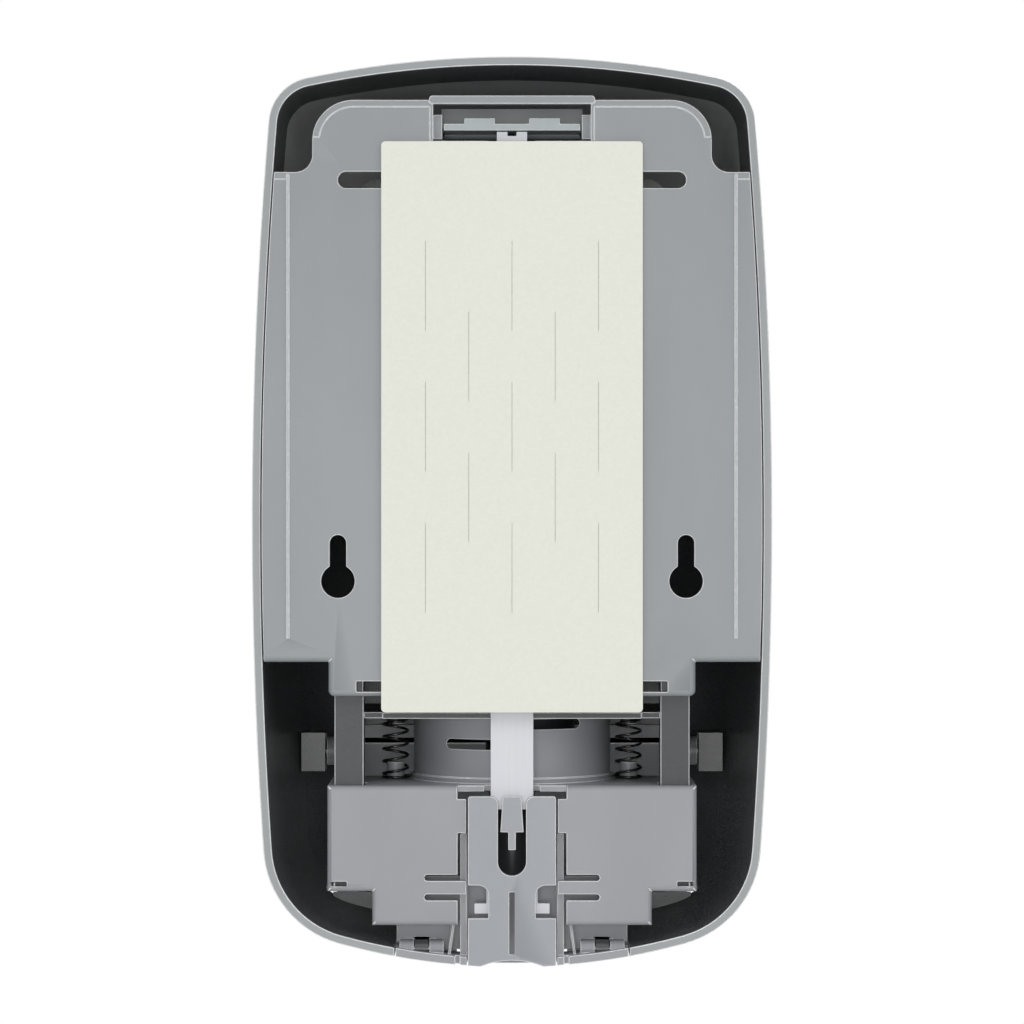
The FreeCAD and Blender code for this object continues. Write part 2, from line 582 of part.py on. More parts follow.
# ---- Lower frame ---------------------------------------------------------------------
def lower_frame():
    foot = BOTTOM_Z + COLUMN_FOOT_RISE
    top = LIP_Z + 5.0
    solids = []
    for sign in (-1, 1):
        x0 = sign * COLUMN_IN
        x1 = sign * COLUMN_OUT
        solids.append(box(x0, x1, COLUMN_REAR_Y, COLUMN_FRONT_Y, foot, top))
        solids.append(box(x0, x1, -PLATE_T, COLUMN_FRONT_Y, LIP_Z + 0.5, top))
    solids.append(box(-COLUMN_OUT, COLUMN_OUT, COLUMN_REAR_Y - 3.0, BRIDGE_FRONT_Y, BRIDGE_Z, BRIDGE_TOP_Z))
    solids.append(box(-BRIDGE_RAIL_HALF, BRIDGE_RAIL_HALF, BRIDGE_RAIL_Y, -12.0, BRIDGE_Z, BRIDGE_TOP_Z))
    for sign in (-1, 1):
        solids.append(upright(SPIGOT_R, sign * SPRING_X, SPRING_Y, BRIDGE_Z - 3.0, BRIDGE_Z + 0.5))
    web_front = WEB_REAR_Y - WEB_T
    inside = outline_plate(COVER_WALL + 1.0, WEB_REAR_Y, web_front)
    web_z0 = BOTTOM_Z + WEB_FOOT_RISE
    web_z1 = BOTTOM_Z + WEB_RISE
    solids.append(box(-COLUMN_OUT, COLUMN_OUT, WEB_REAR_Y, web_front, foot, web_z1))
    web_half = WING_STEP - 1.0
    solids.append(box(-web_half, web_half, WEB_REAR_Y, web_front, web_z0, web_z1))
    solids.append(inside.common(box(-SILL_HALF, SILL_HALF, 0.0, -20.0, BOTTOM_Z, web_z0 + 1.0)))
    sill = outline_plate(0.0, RIM_Y, web_front).cut(outline_plate(SILL_T, RIM_Y, web_front))
    solids.append(sill.common(box(-SILL_HALF, SILL_HALF, RIM_Y, web_front, BOTTOM_Z - 1.0, web_z0)))
    channel_out = CHANNEL_HALF + CHANNEL_WALL
    channel_top = BOTTOM_Z + CHANNEL_RISE
    channel = box(-channel_out, channel_out, CHANNEL_REAR_Y, web_front, BOTTOM_Z, channel_top)
    solids.append(channel.common(outline_plate(0.0, CHANNEL_REAR_Y, web_front)))
    for sign in (-1, 1):
        for x0, x1 in ((HINGE_X0, HINGE_X1), (HINGE_X2, HINGE_X3)):
            lo = min(sign * x0, sign * x1)
            hi = max(sign * x0, sign * x1)
            solids.append(across(HINGE_BARREL_R, lo, hi, HINGE_Y, HINGE_Z))
            gusset = box(lo, hi, HINGE_Y, web_front, BOTTOM_Z, HINGE_Z + HINGE_BARREL_R)
            solids.append(gusset.common(outline_plate(SILL_T / 2.0, RIM_Y, web_front)))
    rib_top = BOTTOM_Z + WING_LOW_RISE + 1.0
    for sign in (-1, 1):
        solids.append(prism_xz([
            (sign * SILL_END, rib_top), (sign * (SILL_END + SILL_RIB_T), rib_top),
            (sign * (SILL_END + SILL_RIB_LEAN + SILL_RIB_T), BOTTOM_Z + SILL_T),
            (sign * (SILL_END + SILL_RIB_LEAN), BOTTOM_Z + SILL_T),
        ], SILL_RIB_REAR_Y, web_front))
    frame = fuse(solids)

    tools = []
    slide_room = box(-CHANNEL_HALF, CHANNEL_HALF, 1.0, WEB_REAR_Y - 0.2, BOTTOM_Z - 1.0, channel_top + 1.0)
    tools.append(slide_room)
    tools.append(box(-WEB_OPENING_HALF, WEB_OPENING_HALF, 0.0, web_front - 1.0,
                     POCKET_BOTTOM_Z - 1.0, channel_top + 1.0))
    tools += pair(box(channel_out, SILL_END, RIM_Y + 1.0, RIM_Y - SILL_GROOVE, BOTTOM_Z - 1.0, BOTTOM_Z + 2.2 * SILL_T))
    outer = CRADLE_R + GAP
    inner = CRADLE_R - CRADLE_T - GAP
    ring = upright(outer, 0.0, PUMP_Y, BRIDGE_Z - 1.0, BRIDGE_TOP_Z + 1.0)
    ring = ring.cut(upright(inner, 0.0, PUMP_Y, BRIDGE_Z - 2.0, BRIDGE_TOP_Z + 2.0))
    ring = ring.common(box(-60.0, 60.0, PUMP_Y - GAP, 0.0, BRIDGE_Z - 1.0, BRIDGE_TOP_Z + 1.0))
    tools.append(ring)
    tools.append(upright(NECK_SLOT_R, 0.0, PUMP_Y, BRIDGE_Z - 1.0, BRIDGE_TOP_Z + 1.0))
    tools.append(box(-NECK_SLOT_R, NECK_SLOT_R, PUMP_Y, BRIDGE_FRONT_Y - 1.0,
                     BRIDGE_Z - 1.0, BRIDGE_TOP_Z + 1.0))
    for sign in (-1, 1):
        x0 = sign * (HINGE_X1 + 0.1)
        x1 = sign * (HINGE_X2 - 0.1)
        tools.append(box(x0, x1, RIM_Y - SILL_SKIN, -20.0, BOTTOM_Z - 1.0, HINGE_Z + HINGE_BARREL_R + GAP))
        lo = min(sign * (HINGE_X0 - 2.0), sign * (HINGE_X3 + 2.0))
        hi = max(sign * (HINGE_X0 - 2.0), sign * (HINGE_X3 + 2.0))
        tools.append(across(HINGE_PIN_R, lo, hi, HINGE_Y, HINGE_Z))
    return frame.cut(tools)


# ---- Adhesive pad --------------------------------------------------------------------
def adhesive_pad():
    half = PAD_W / 2.0
    pad = box(-half, half, 0.0, PAD_FOAM_T, PAD_BOTTOM_Z, PAD_TOP_Z)
    return rounded(pad, PAD_CORNER_R, V(0, 1, 0))


def pad_liner():
    half = PAD_W / 2.0
    rear = PAD_FOAM_T + LINER_T
    liner = rounded(box(-half, half, PAD_FOAM_T, rear, PAD_BOTTOM_Z, PAD_TOP_Z),
                    PAD_CORNER_R, V(0, 1, 0))
    middle = (PAD_TOP_Z + PAD_BOTTOM_Z) / 2.0
    slits = []
    for column in range(-2, 3):
        shift = SLIT_ROW_PITCH / 2.0 if column % 2 else 0.0
        rows = SLIT_ROWS - 1 if column % 2 else SLIT_ROWS
        for row in range(rows):
            z = middle + (row - (SLIT_ROWS - 1) / 2.0) * SLIT_ROW_PITCH + shift
            x = column * SLIT_COLUMN_PITCH
            slits.append(box(x - SLIT_W / 2, x + SLIT_W / 2, PAD_FOAM_T - 1.0, rear + 1.0,
                             z - SLIT_L / 2, z + SLIT_L / 2))
    return liner.cut(slits)


# ---- Pump carriage and what rides on it ----------------------------------------------
def pump_carriage():
    low = BOTTOM_Z + WING_LOW_RISE
    high = BOTTOM_Z + WING_HIGH_RISE
    skin_front = WING_SKIN_Y - WING_SKIN_T
    bottom = SHELF_Z - SHELF_T
    wing = prism_xz([
        (WING_IN, SHELF_Z), (WING_OUT, SHELF_Z), (WING_OUT, high), (WING_STEP, high),
        (WING_STEP, low), (WING_IN, low),
    ], WING_SKIN_Y, skin_front)
    rim = []
    for edge in wing.Edges:
        middle = edge.CenterOfMass
        if edge.BoundBox.YLength < 0.01 and abs(middle.y - WING_SKIN_Y) < 0.01 and middle.x > WING_IN + 0.1:
            rim.append(edge)
    wing = wing.makeFillet(WING_EDGE_R, rim)
    tab = box(WING_TAB_IN, WING_IN + 1.0, WING_SKIN_Y, skin_front,
              BOTTOM_Z + WING_TAB_LOW_RISE, BOTTOM_Z + WING_TAB_HIGH_RISE)
    finger_low = BOTTOM_Z + WING_FINGER_RISE
    finger_high = finger_low + WING_FINGER_W
    finger = box(WING_TAB_IN, WING_SLOT_END, WING_SKIN_Y, skin_front, finger_low, finger_high)
    slots = []
    for z in (finger_low - WING_SLOT_W / 2.0, finger_high + WING_SLOT_W / 2.0):
        slots.append(slot_x((WING_SLOT_END + WING_TAB_IN - 4.0) / 2.0, z,
                            WING_SLOT_END - WING_TAB_IN + 4.0, WING_SLOT_W, 0.0, skin_front - 0.01))
    side_slot = box(WING_SIDE_SLOT[0], WING_SIDE_SLOT[1], 0.0, skin_front - 0.01,
                    BOTTOM_Z + WING_SIDE_SLOT_RISE - 1.4, BOTTOM_Z + WING_SIDE_SLOT_RISE)
    wing = fuse([wing, tab, finger]).cut(slots + [side_slot])
    flange = box(WING_OUT - 1.3, WING_OUT, skin_front + 0.5, -10.4, high, SHELF_Z - WING_EDGE_R)
    solids = pair(wing) + pair(flange)
    solids.append(box(-WING_OUT, WING_OUT, skin_front + 0.6, SHELF_FRONT_Y, bottom, SHELF_Z))
    solids.append(box(-SHELF_NOSE_HALF, SHELF_NOSE_HALF, PUMP_Y, SHELF_NOSE_Y, bottom, SHELF_Z))
    foot = upright(CRADLE_R + 1.0, 0.0, PUMP_Y, bottom, SHELF_Z + 1.6)
    solids.append(foot.common(box(-60.0, 60.0, PUMP_Y, 0.0, bottom, SHELF_Z + 1.6)))
    cradle_top = SHELF_Z + CRADLE_H
    cradle = upright(CRADLE_R, 0.0, PUMP_Y, bottom, cradle_top)
    cradle = cradle.cut(upright(CRADLE_R - CRADLE_T, 0.0, PUMP_Y, bottom - 1.0, cradle_top + 1.0))
    cradle = cradle.common(box(-60.0, 60.0, PUMP_Y, 0.0, bottom, cradle_top))
    solids.append(cradle)
    for sign in (-1, 1):
        solids.append(upright(SPIGOT_R, sign * SPRING_X, SPRING_Y, SHELF_Z - 0.5, SHELF_Z + 5.0))
    body = fuse(solids)

    tools = [
        box(-ROD_NOTCH_HALF, ROD_NOTCH_HALF, 1.0, ROD_FRONT_Y - 0.8, bottom - 1.0, SHELF_Z + 3.0),
        box(-SHELF_TONGUE_HALF, SHELF_TONGUE_HALF, 1.0, BUTTON_FRONT_Y - 0.5,
            BOTTOM_Z + WING_TAB_HIGH_RISE, SHELF_Z + 3.0),
    ]
    for sign in (-1, 1):
        x0 = sign * (COLUMN_IN - 0.5)
        x1 = sign * (COLUMN_OUT + 0.5)
        tools.append(box(x0, x1, skin_front, COLUMN_FRONT_Y - 0.6, bottom - 1.0, SHELF_Z + 1.0))
    stem_room = NOZZLE_R + 2.0
    tools.append(upright(stem_room, 0.0, PUMP_Y, bottom - 1.0, SHELF_Z + 3.0))
    tools.append(upright(CRADLE_R - CRADLE_T, 0.0, PUMP_Y, SHELF_Z, SHELF_Z + 3.0))
    tools.append(box(-stem_room, stem_room, PUMP_Y, SHELF_NOSE_Y - 1.0, bottom - 1.0, SHELF_Z + 1.0))
    tools.append(slot_x(10.3, SHELF_Z + 11.5, 18.0, 3.0, 0.0, PUMP_Y))
    tools.append(slot_x(-11.0, SHELF_Z + 17.5, 18.0, 3.0, 0.0, PUMP_Y))
    return body.cut(tools)


def pump_stem():
    top = BRIDGE_Z - 0.5
    solids = [
        upright(STEM_R, 0.0, PUMP_Y, SHELF_Z, top),
        upright(FLANGE_R, 0.0, PUMP_Y, SHELF_Z, SHELF_Z + FLANGE_T),
        upright(NOZZLE_R, 0.0, PUMP_Y, SHELF_Z - NOZZLE_L, SHELF_Z),
    ]
    stem = fuse(solids)
    return stem.cut(upright(STEM_BORE_R, 0.0, PUMP_Y, SHELF_Z - NOZZLE_L - 1.0, top + 1.0))


def nozzle_tip():
    z1 = SHELF_Z - NOZZLE_L
    cone = Part.makeCone(3.6, NOZZLE_R, TIP_L, V(0, PUMP_Y, z1 - TIP_L), V(0, 0, 1))
    return cone.cut(upright(1.2, 0.0, PUMP_Y, z1 - TIP_L - 1.0, z1 + 1.0))


def piston_seal():
    z0 = BRIDGE_Z - 0.5
    ring = upright(STEM_R, 0.0, PUMP_Y, z0, z0 + 2.0)
    return ring.cut(upright(STEM_BORE_R + 1.5, 0.0, PUMP_Y, z0 - 1.0, z0 + 3.0))


def return_spring(sign):
    z0 = SHELF_Z + 0.05
    z1 = BRIDGE_Z - 0.05
    radius = SPRING_R - SPRING_WIRE_R
    return coil(sign * SPRING_X, SPRING_Y, z0, z1, radius, SPRING_WIRE_R, SPRING_TURNS)


def pump_spring():
    return coil(0.0, PUMP_Y, BRIDGE_Z + 1.7, CHAMBER_TOP_Z - 4.2, 5.0, 0.5, 6.0)


# ---- Refill and pump -----------------------------------------------------------------
def pump_body():
    bore = STEM_R + STEM_FIT
    solids = [
        upright(PUMP_R, 0.0, PUMP_Y, PUMP_BOTTOM_Z, BRIDGE_TOP_Z + 2.0),
        upright(CHAMBER_R, 0.0, PUMP_Y, PUMP_BOTTOM_Z, CHAMBER_TOP_Z),
    ]
    body = fuse(solids)
    body = body.cut(upright(bore, 0.0, PUMP_Y, PUMP_BOTTOM_Z - 1.0, CHAMBER_TOP_Z - 4.0))
    return body.cut(upright(2.0, 0.0, PUMP_Y, CHAMBER_TOP_Z - 5.0, CHAMBER_TOP_Z + 1.0))


def inlet_valve():
    return Part.makeSphere(3.0, V(0, PUMP_Y, CHAMBER_TOP_Z + 2.3))


def refill_cap():
    z0 = BRIDGE_TOP_Z
    cap = upright(CAP_R, 0.0, PUMP_Y, z0, z0 + CAP_H)
    cap = cap.cut(upright(PUMP_R, 0.0, PUMP_Y, z0 - 1.0, z0 + 2.0))
    return cap.cut(upright(NECK_R, 0.0, PUMP_Y, z0 + 1.0, z0 + CAP_H + 1.0))


def refill_seal():
    z0 = BRIDGE_TOP_Z + 2.0
    ring = upright(NECK_R, 0.0, PUMP_Y, z0, z0 + 1.0)
    return ring.cut(upright(NECK_R - 2.5, 0.0, PUMP_Y, z0 - 1.0, z0 + 2.0))


def refill_bottle():
    neck_z = BRIDGE_TOP_Z + 3.0

    def form(shrink):
        tank = box(-BOTTLE_HALF + shrink, BOTTLE_HALF - shrink, BOTTLE_REAR_Y - shrink,
                   BOTTLE_FRONT_Y + shrink, BOTTLE_BOTTOM_Z + shrink, BOTTLE_TOP_Z - shrink)
        tank = rounded(tank, BOTTLE_CORNER_R - shrink, V(0, 0, 1))
        return tank.makeFillet(6.0 - shrink, [e for e in tank.Edges if e.BoundBox.ZLength < 0.01])

    outer = form(0.0).fuse(upright(NECK_R, 0.0, PUMP_Y, neck_z, BOTTLE_BOTTOM_Z + 2.0))
    inner = form(BOTTLE_WALL)
    inner = inner.fuse(upright(NECK_R - 1.8, 0.0, PUMP_Y, neck_z - 1.0, BOTTLE_BOTTOM_Z + 4.0))
    return outer.cut(inner)


# ---- Release button, rod and key -----------------------------------------------------
def release_button():
    plate = box(-BUTTON_HALF, BUTTON_HALF, BUTTON_REAR_Y, BUTTON_FRONT_Y, BOTTOM_Z, BUTTON_TOP_Z)
    plate = plate.common(outline_plate(0.0, BUTTON_REAR_Y, BUTTON_FRONT_Y))
    post_tops = [e for e in plate.Edges if e.BoundBox.YLength > 1.0 and e.CenterOfMass.z > BUTTON_TOP_Z - 0.1]
    plate = plate.makeFillet(POST_OUTER_R, post_tops)
    window_z = BOTTOM_Z + BUTTON_WINDOW_RISE
    tools = [
        box(-POCKET_HALF, POCKET_HALF, 1.0, -5.0, POCKET_BOTTOM_Z + POCKET_HALF, BUTTON_TOP_Z + 1.0),
        through(POCKET_HALF, 0.0, POCKET_BOTTOM_Z + POCKET_HALF, 1.0, -5.0),
        box(-BUTTON_SLOT_HALF, BUTTON_SLOT_HALF, 1.0, -5.0, BOTTOM_Z + 3.8, BOTTOM_Z + 21.9),
    ]
    for sign in (-1, 1):
        window = box(sign * BUTTON_WAIST, sign * 18.0, 1.0, -5.0, window_z, window_z + BUTTON_WINDOW_H)
        corner = [e for e in window.Edges if e.BoundBox.YLength > 5.0
                  and abs(abs(e.CenterOfMass.x) - BUTTON_WAIST) < 0.01
                  and e.CenterOfMass.z > window_z + 1.0]
        tools.append(window.makeFillet(BUTTON_WINDOW_R, corner))
    arch_r = 24.0
    tools.append(through(arch_r, 0.0, BOTTOM_Z + 2.0 - arch_r, 1.0, -5.0))
    link_z = BOTTOM_Z + LINK_RISE
    links = pair(box(ROD_LEG_IN, ROD_LEG_OUT - 0.7, BUTTON_FRONT_Y, ROD_REAR_Y, link_z, link_z + LINK_H))
    plate = plate.cut(tools)
    inner = [e for e in plate.Edges if e.BoundBox.YLength > 1.0 and e.CenterOfMass.z > BUTTON_TOP_Z - 0.1
             and abs(abs(e.CenterOfMass.x) - POCKET_HALF) < 0.01]
    return fuse([plate.makeFillet(POST_INNER_R, inner)] + links)


def release_rod():
    foot_z = BOTTOM_Z + ROD_FOOT_RISE
    fork_z = BUTTON_TOP_Z - ROD_FORK_DROP
    strip = box(-ROD_HALF, ROD_HALF, ROD_REAR_Y, ROD_FRONT_Y, fork_z, WINDOW_BOTTOM_Z - 5.0)
    tip = box(-ROD_TIP_HALF, ROD_TIP_HALF, ROD_REAR_Y, ROD_FRONT_Y, fork_z, ROD_TOP_Z)
    legs = pair(box(ROD_LEG_IN, ROD_LEG_OUT, ROD_REAR_Y, ROD_FRONT_Y, foot_z, fork_z + ROD_FORK_LAP))
    toes = pair(box(ROD_LEG_IN, ROD_FOOT_HALF, ROD_REAR_Y, ROD_FRONT_Y, foot_z - 1.0, foot_z + 2.0))
    rod = fuse([strip, tip] + legs + toes)
    half, depth = ROD_NOTCH
    return rod.cut(box(-half, half, 1.0, -10.0, ROD_TOP_Z - depth, ROD_TOP_Z + 1.0))


def lock_key():
    head_z = BUTTON_TOP_Z - KEY_HEAD_H
    head = prism_xz([(-KEY_TOP_HALF, BUTTON_TOP_Z), (KEY_TOP_HALF, BUTTON_TOP_Z),
                     (KEY_HEAD_HALF, head_z), (-KEY_HEAD_HALF, head_z)], KEY_REAR_Y, ROD_REAR_Y)
    stem = box(-KEY_STEM_HALF, KEY_STEM_HALF, KEY_REAR_Y, ROD_REAR_Y, head_z - KEY_STEM_H, head_z + 0.5)
    return fuse([head, stem])


# ---- Latch ---------------------------------------------------------------------------
def latch_lever():
    top = LATCH_Z + LATCH_T
    hook_front = LATCH_HOOK_Y - LATCH_HOOK_T
    bar = box(-LATCH_HALF, LATCH_HALF, LATCH_REAR_Y, hook_front, LATCH_Z, top)
    hook = box(-HOOK_HALF, HOOK_HALF, LATCH_HOOK_Y, hook_front, LATCH_Z, top + LATCH_HOOK_H)
    barrel = across(LATCH_BARREL_R, -LATCH_HALF, LATCH_HALF, LATCH_PIVOT_Y, LATCH_PIVOT_Z)
    lugs = []
    for sign in (-1, 1):
        lugs.append(box(sign * 5.0, sign * 14.0, LATCH_REAR_Y, LATCH_REAR_Y - 4.0, top, top + 1.6))
    lever = fuse([bar, hook, barrel] + lugs)
    bore = across(LATCH_PIN_R + PIN_FIT, -LATCH_HALF - 1, LATCH_HALF + 1, LATCH_PIVOT_Y, LATCH_PIVOT_Z)
    spring_room = box(-4.0, 4.0, LATCH_PIVOT_Y - 4.0, LATCH_PIVOT_Y + 4.0, LATCH_Z - 4.0, top + 4.0)
    return lever.cut([bore, spring_room])


def latch_pin():
    reach = LATCH_HALF + GAP + 2.6
    return across(LATCH_PIN_R, -reach, reach, LATCH_PIVOT_Y, LATCH_PIVOT_Z)


def latch_spring():
    body = coil(0.0, 0.0, -3.2, 3.2, LATCH_PIN_R + 0.9, 0.35, 5.0)
    body.rotate(V(0, 0, 0), V(0, 1, 0), 90.0)
    body.translate(V(0, LATCH_PIVOT_Y, LATCH_PIVOT_Z))
    return body


# ---- Cover, push bar and window ------------------------------------------------------
def shell():
    return cover_solid(0.0).cut(cover_solid(COVER_WALL))


def bar_region(gap):
    return box(-BAR_HALF + gap, BAR_HALF - gap, BAR_REAR_Y - gap, FRONT_Y - 5.0,
               BOTTOM_Z - 5.0, BAR_TOP_Z - gap)


def sight_slot(grow, y0, y1):
    slot = box(-SIGHT_HALF - grow, SIGHT_HALF + grow, y0, y1, SIGHT_Z0 - grow, SIGHT_Z1 + grow)
    return rounded(slot, SIGHT_HALF + grow - 0.2, V(0, 1, 0))


def front_cover(skin):
    inside = cover_solid(COVER_WALL / 2.0)
    extras = []
    arm_z = LATCH_Z + LATCH_T + LATCH_HOOK_H + CATCH_OVER_HOOK
    arm_top = arm_z + CATCH_ARM_T
    catch_front = LATCH_HOOK_Y + CATCH_FIT
    catch_rear = catch_front + CATCH_T
    catch_low = LATCH_Z + LATCH_T + CATCH_RISE
    extras.append(box(-CATCH_ARM_HALF, CATCH_ARM_HALF, catch_front, catch_rear, catch_low, arm_top))
    extras.append(box(-CATCH_ARM_HALF, CATCH_ARM_HALF, catch_rear, FRONT_Y, arm_z, arm_top).common(inside))
    skirt = box(SKIRT_IN, BAR_HALF, SKIRT_REAR_Y, SKIRT_REAR_Y - SKIRT_T, BOTTOM_Z - 1.0, BOTTOM_Z + SKIRT_RISE)
    extras += [s.common(inside) for s in pair(skirt)]
    rib_low = arm_z - CATCH_RIB_H
    for rib in pair(box(CATCH_RIB_X, CATCH_RIB_X + CATCH_T, CATCH_RIB_REAR_Y, FRONT_Y, rib_low, arm_z)):
        extras.append(rib.common(inside))
    for sign in (-1, 1):
        ear = box(sign * EAR_X, sign * HALF_W, PIVOT_Y - 6.0, PIVOT_Y + 6.0, PIVOT_Z - 6.0, PIVOT_Z + 6.0)
        extras.append(ear.common(inside))
        x0 = sign * (HINGE_X1 + 0.3)
        x1 = sign * (HINGE_X2 - 0.3)
        lo = min(x0, x1)
        extras.append(across(HINGE_BARREL_R, lo, lo + abs(x1 - x0), HINGE_Y, HINGE_Z))
        extras.append(box(x0, x1, HINGE_Y, HINGE_NOTCH_Y - 6.0,
                          HINGE_Z - HINGE_BARREL_R, HINGE_Z + HINGE_BARREL_R))
    notch = SILL_HALF + SILL_GAP
    floor_cuts = [
        box(-notch, notch, 1.0, HINGE_NOTCH_Y, BOTTOM_Z - 5.0, BOTTOM_Z + 12.0),
        box(-CHANNEL_HALF - CHANNEL_WALL - 1.2, CHANNEL_HALF + CHANNEL_WALL + 1.2, 1.0, BAR_REAR_Y,
            BOTTOM_Z - 5.0, BOTTOM_Z + 12.0),
        box(-30.0, 30.0, HINGE_NOTCH_Y - 8.0, BAR_REAR_Y, BOTTOM_Z - 5.0, BOTTOM_Z + 12.0),
        box(-BAR_HALF - 1.5, BAR_HALF + 1.5, BAR_REAR_Y + BAR_SWEEP, BAR_REAR_Y - 2.0,
            BOTTOM_Z - 5.0, BOTTOM_Z + BAR_SWEEP_RISE),
        bar_region(0.0),
        sight_slot(0.0, FRONT_Y - 1.0, COVER_INSIDE_Y + 1.0),
    ]
    cover = skin.cut(floor_cuts)
    cover = fuse([cover] + extras)
    bores = []
    for sign in (-1, 1):
        lo = min(sign * (HINGE_X0 - 1.0), sign * (HINGE_X3 + 1.0))
        bores.append(across(HINGE_PIN_R + PIN_FIT, lo, lo + HINGE_X3 - HINGE_X0 + 2.0, HINGE_Y, HINGE_Z))
        x0 = sign * (EAR_X - 1.0)
        x1 = sign * (EAR_X + EAR_T)
        bores.append(across(PIVOT_PIN_R, min(x0, x1), max(x0, x1), PIVOT_Y, PIVOT_Z))
    return cover.cut(bores)


def sight_window():
    pane = sight_slot(-0.05, FRONT_Y + 0.3, COVER_INSIDE_Y)
    lip = sight_slot(2.0, COVER_INSIDE_Y, COVER_INSIDE_Y + 1.2)
    return fuse([pane, lip])


def push_bar(skin):
    face = skin.common(bar_region(BAR_GAP))
    shelf_bottom = SHELF_Z - SHELF_T
    tip_z = shelf_bottom - GAP
    inside = cover_solid(COVER_WALL / 2.0)
    arms = []
    for sign in (-1, 1):
        x0 = sign * ARM_IN
        x1 = sign * (ARM_IN + ARM_T)
        lo = min(x0, x1)
        profile = [
            (PIVOT_Y, PIVOT_Z + 5.0), (SHELF_FRONT_Y - 5.0, tip_z - 0.3), (ARM_TIP_Y - 1.6, tip_z),
            (ARM_TIP_Y, tip_z - 2.0), (ARM_TIP_Y, tip_z - 4.0), (ARM_TIP_Y - 2.0, tip_z - 6.0),
            (PIVOT_Y, PIVOT_Z - 8.0), (FRONT_Y, PIVOT_Z - 14.0), (FRONT_Y, PIVOT_Z + 2.0),
        ]
        arm = prism_yz(profile, lo, lo + ARM_T)
        arms.append(arm.common(inside))
        b0 = sign * (ARM_IN + ARM_T)
        b1 = sign * (EAR_X - GAP)
        arms.append(across(PIVOT_BOSS_R, min(b0, b1), max(b0, b1), PIVOT_Y, PIVOT_Z))
    lip_half = BAR_HALF - BAR_LIP_IN
    lip_rear = COVER_INSIDE_Y + BAR_LIP_GAP + BAR_LIP_T
    root_z0 = BAR_TOP_Z - BAR_GAP - BAR_LIP_ROOT
    root_z1 = BAR_TOP_Z - BAR_GAP
    lip = box(-lip_half, lip_half, lip_rear, lip_rear - BAR_LIP_T, root_z0, BAR_TOP_Z + BAR_LIP_H)
    lip = lip.common(cover_solid(COVER_WALL + BAR_LIP_GAP))
    root = box(-lip_half, lip_half, lip_rear, COVER_INSIDE_Y - 0.5, root_z0, root_z1).common(inside)
    bar = fuse([face, lip, root] + arms)
    bores = []
    for sign in (-1, 1):
        x0 = sign * (ARM_IN - 1.0)
        x1 = sign * EAR_X
        bores.append(across(PIVOT_PIN_R + PIN_FIT, min(x0, x1), max(x0, x1), PIVOT_Y, PIVOT_Z))
    return bar.cut(bores)


def pins(x0, x1, radius, y, z):
    solids = []
    for sign in (-1, 1):
        lo = min(sign * x0, sign * x1)
        solids.append(across(radius, lo, lo + x1 - x0, y, z))
    return Part.makeCompound(solids)


# ---- Write every node ----------------------------------------------------------------
os.makedirs("parts", exist_ok=True)
save("back_plate", back_plate())
save("lower_frame", lower_frame())
save("adhesive_pad", adhesive_pad())
save("pad_liner", pad_liner())
save("hinge_pins", pins(HINGE_X0, HINGE_X3, HINGE_PIN_R, HINGE_Y, HINGE_Z))
save("latch_pin", latch_pin())
save("latch_spring", latch_spring())
save("latch_lever", latch_lever())
save("pump_carriage", pump_carriage())
save("pump_stem", pump_stem())
save("nozzle_tip", nozzle_tip())
save("piston_seal", piston_seal())
save("return_spring_left", return_spring(1))
save("return_spring_right", return_spring(-1))
save("pump_spring", pump_spring())
save("pump_body", pump_body())
save("inlet_valve", inlet_valve())
save("refill_cap", refill_cap())
save("refill_seal", refill_seal())
save("refill_bottle", refill_bottle())
save("release_button", release_button())
save("release_rod", release_rod())
save("lock_key", lock_key())
SKIN = shell()
save("front_cover", front_cover(SKIN))
save("push_bar", push_bar(SKIN))
save("push_bar_pins", pins(ARM_IN, EAR_X + EAR_T, PIVOT_PIN_R, PIVOT_Y, PIVOT_Z))
save("sight_window", sight_window())
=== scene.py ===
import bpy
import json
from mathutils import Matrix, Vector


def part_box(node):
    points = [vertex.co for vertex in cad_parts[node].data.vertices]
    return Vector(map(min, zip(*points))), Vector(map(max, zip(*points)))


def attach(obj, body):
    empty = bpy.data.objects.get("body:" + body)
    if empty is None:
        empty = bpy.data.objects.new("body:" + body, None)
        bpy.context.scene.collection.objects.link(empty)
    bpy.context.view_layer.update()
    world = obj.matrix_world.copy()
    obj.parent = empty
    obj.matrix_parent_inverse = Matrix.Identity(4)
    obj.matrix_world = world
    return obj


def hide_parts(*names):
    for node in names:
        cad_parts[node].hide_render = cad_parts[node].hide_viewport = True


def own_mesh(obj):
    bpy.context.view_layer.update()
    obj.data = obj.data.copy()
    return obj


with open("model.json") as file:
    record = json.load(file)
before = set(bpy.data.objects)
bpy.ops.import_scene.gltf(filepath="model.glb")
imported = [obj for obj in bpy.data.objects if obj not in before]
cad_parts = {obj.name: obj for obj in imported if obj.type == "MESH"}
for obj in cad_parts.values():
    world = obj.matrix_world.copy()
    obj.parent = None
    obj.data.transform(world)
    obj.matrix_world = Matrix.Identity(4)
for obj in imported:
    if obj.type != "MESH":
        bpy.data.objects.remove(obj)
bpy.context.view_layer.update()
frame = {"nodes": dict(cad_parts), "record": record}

import json
import math

import bmesh
import bpy
import numpy as np
from mathutils import Vector

bl_info = {
    "name": "Wall soap dispenser",
    "version": (1, 0, 0),
    "blender": (4, 5, 0),
    "location": "3D View > Sidebar > Dispenser",
    "description": "Builds the moulded cover, carriage, pump and refill of a wall mounted soap dispenser",
    "category": "Add Mesh",
}

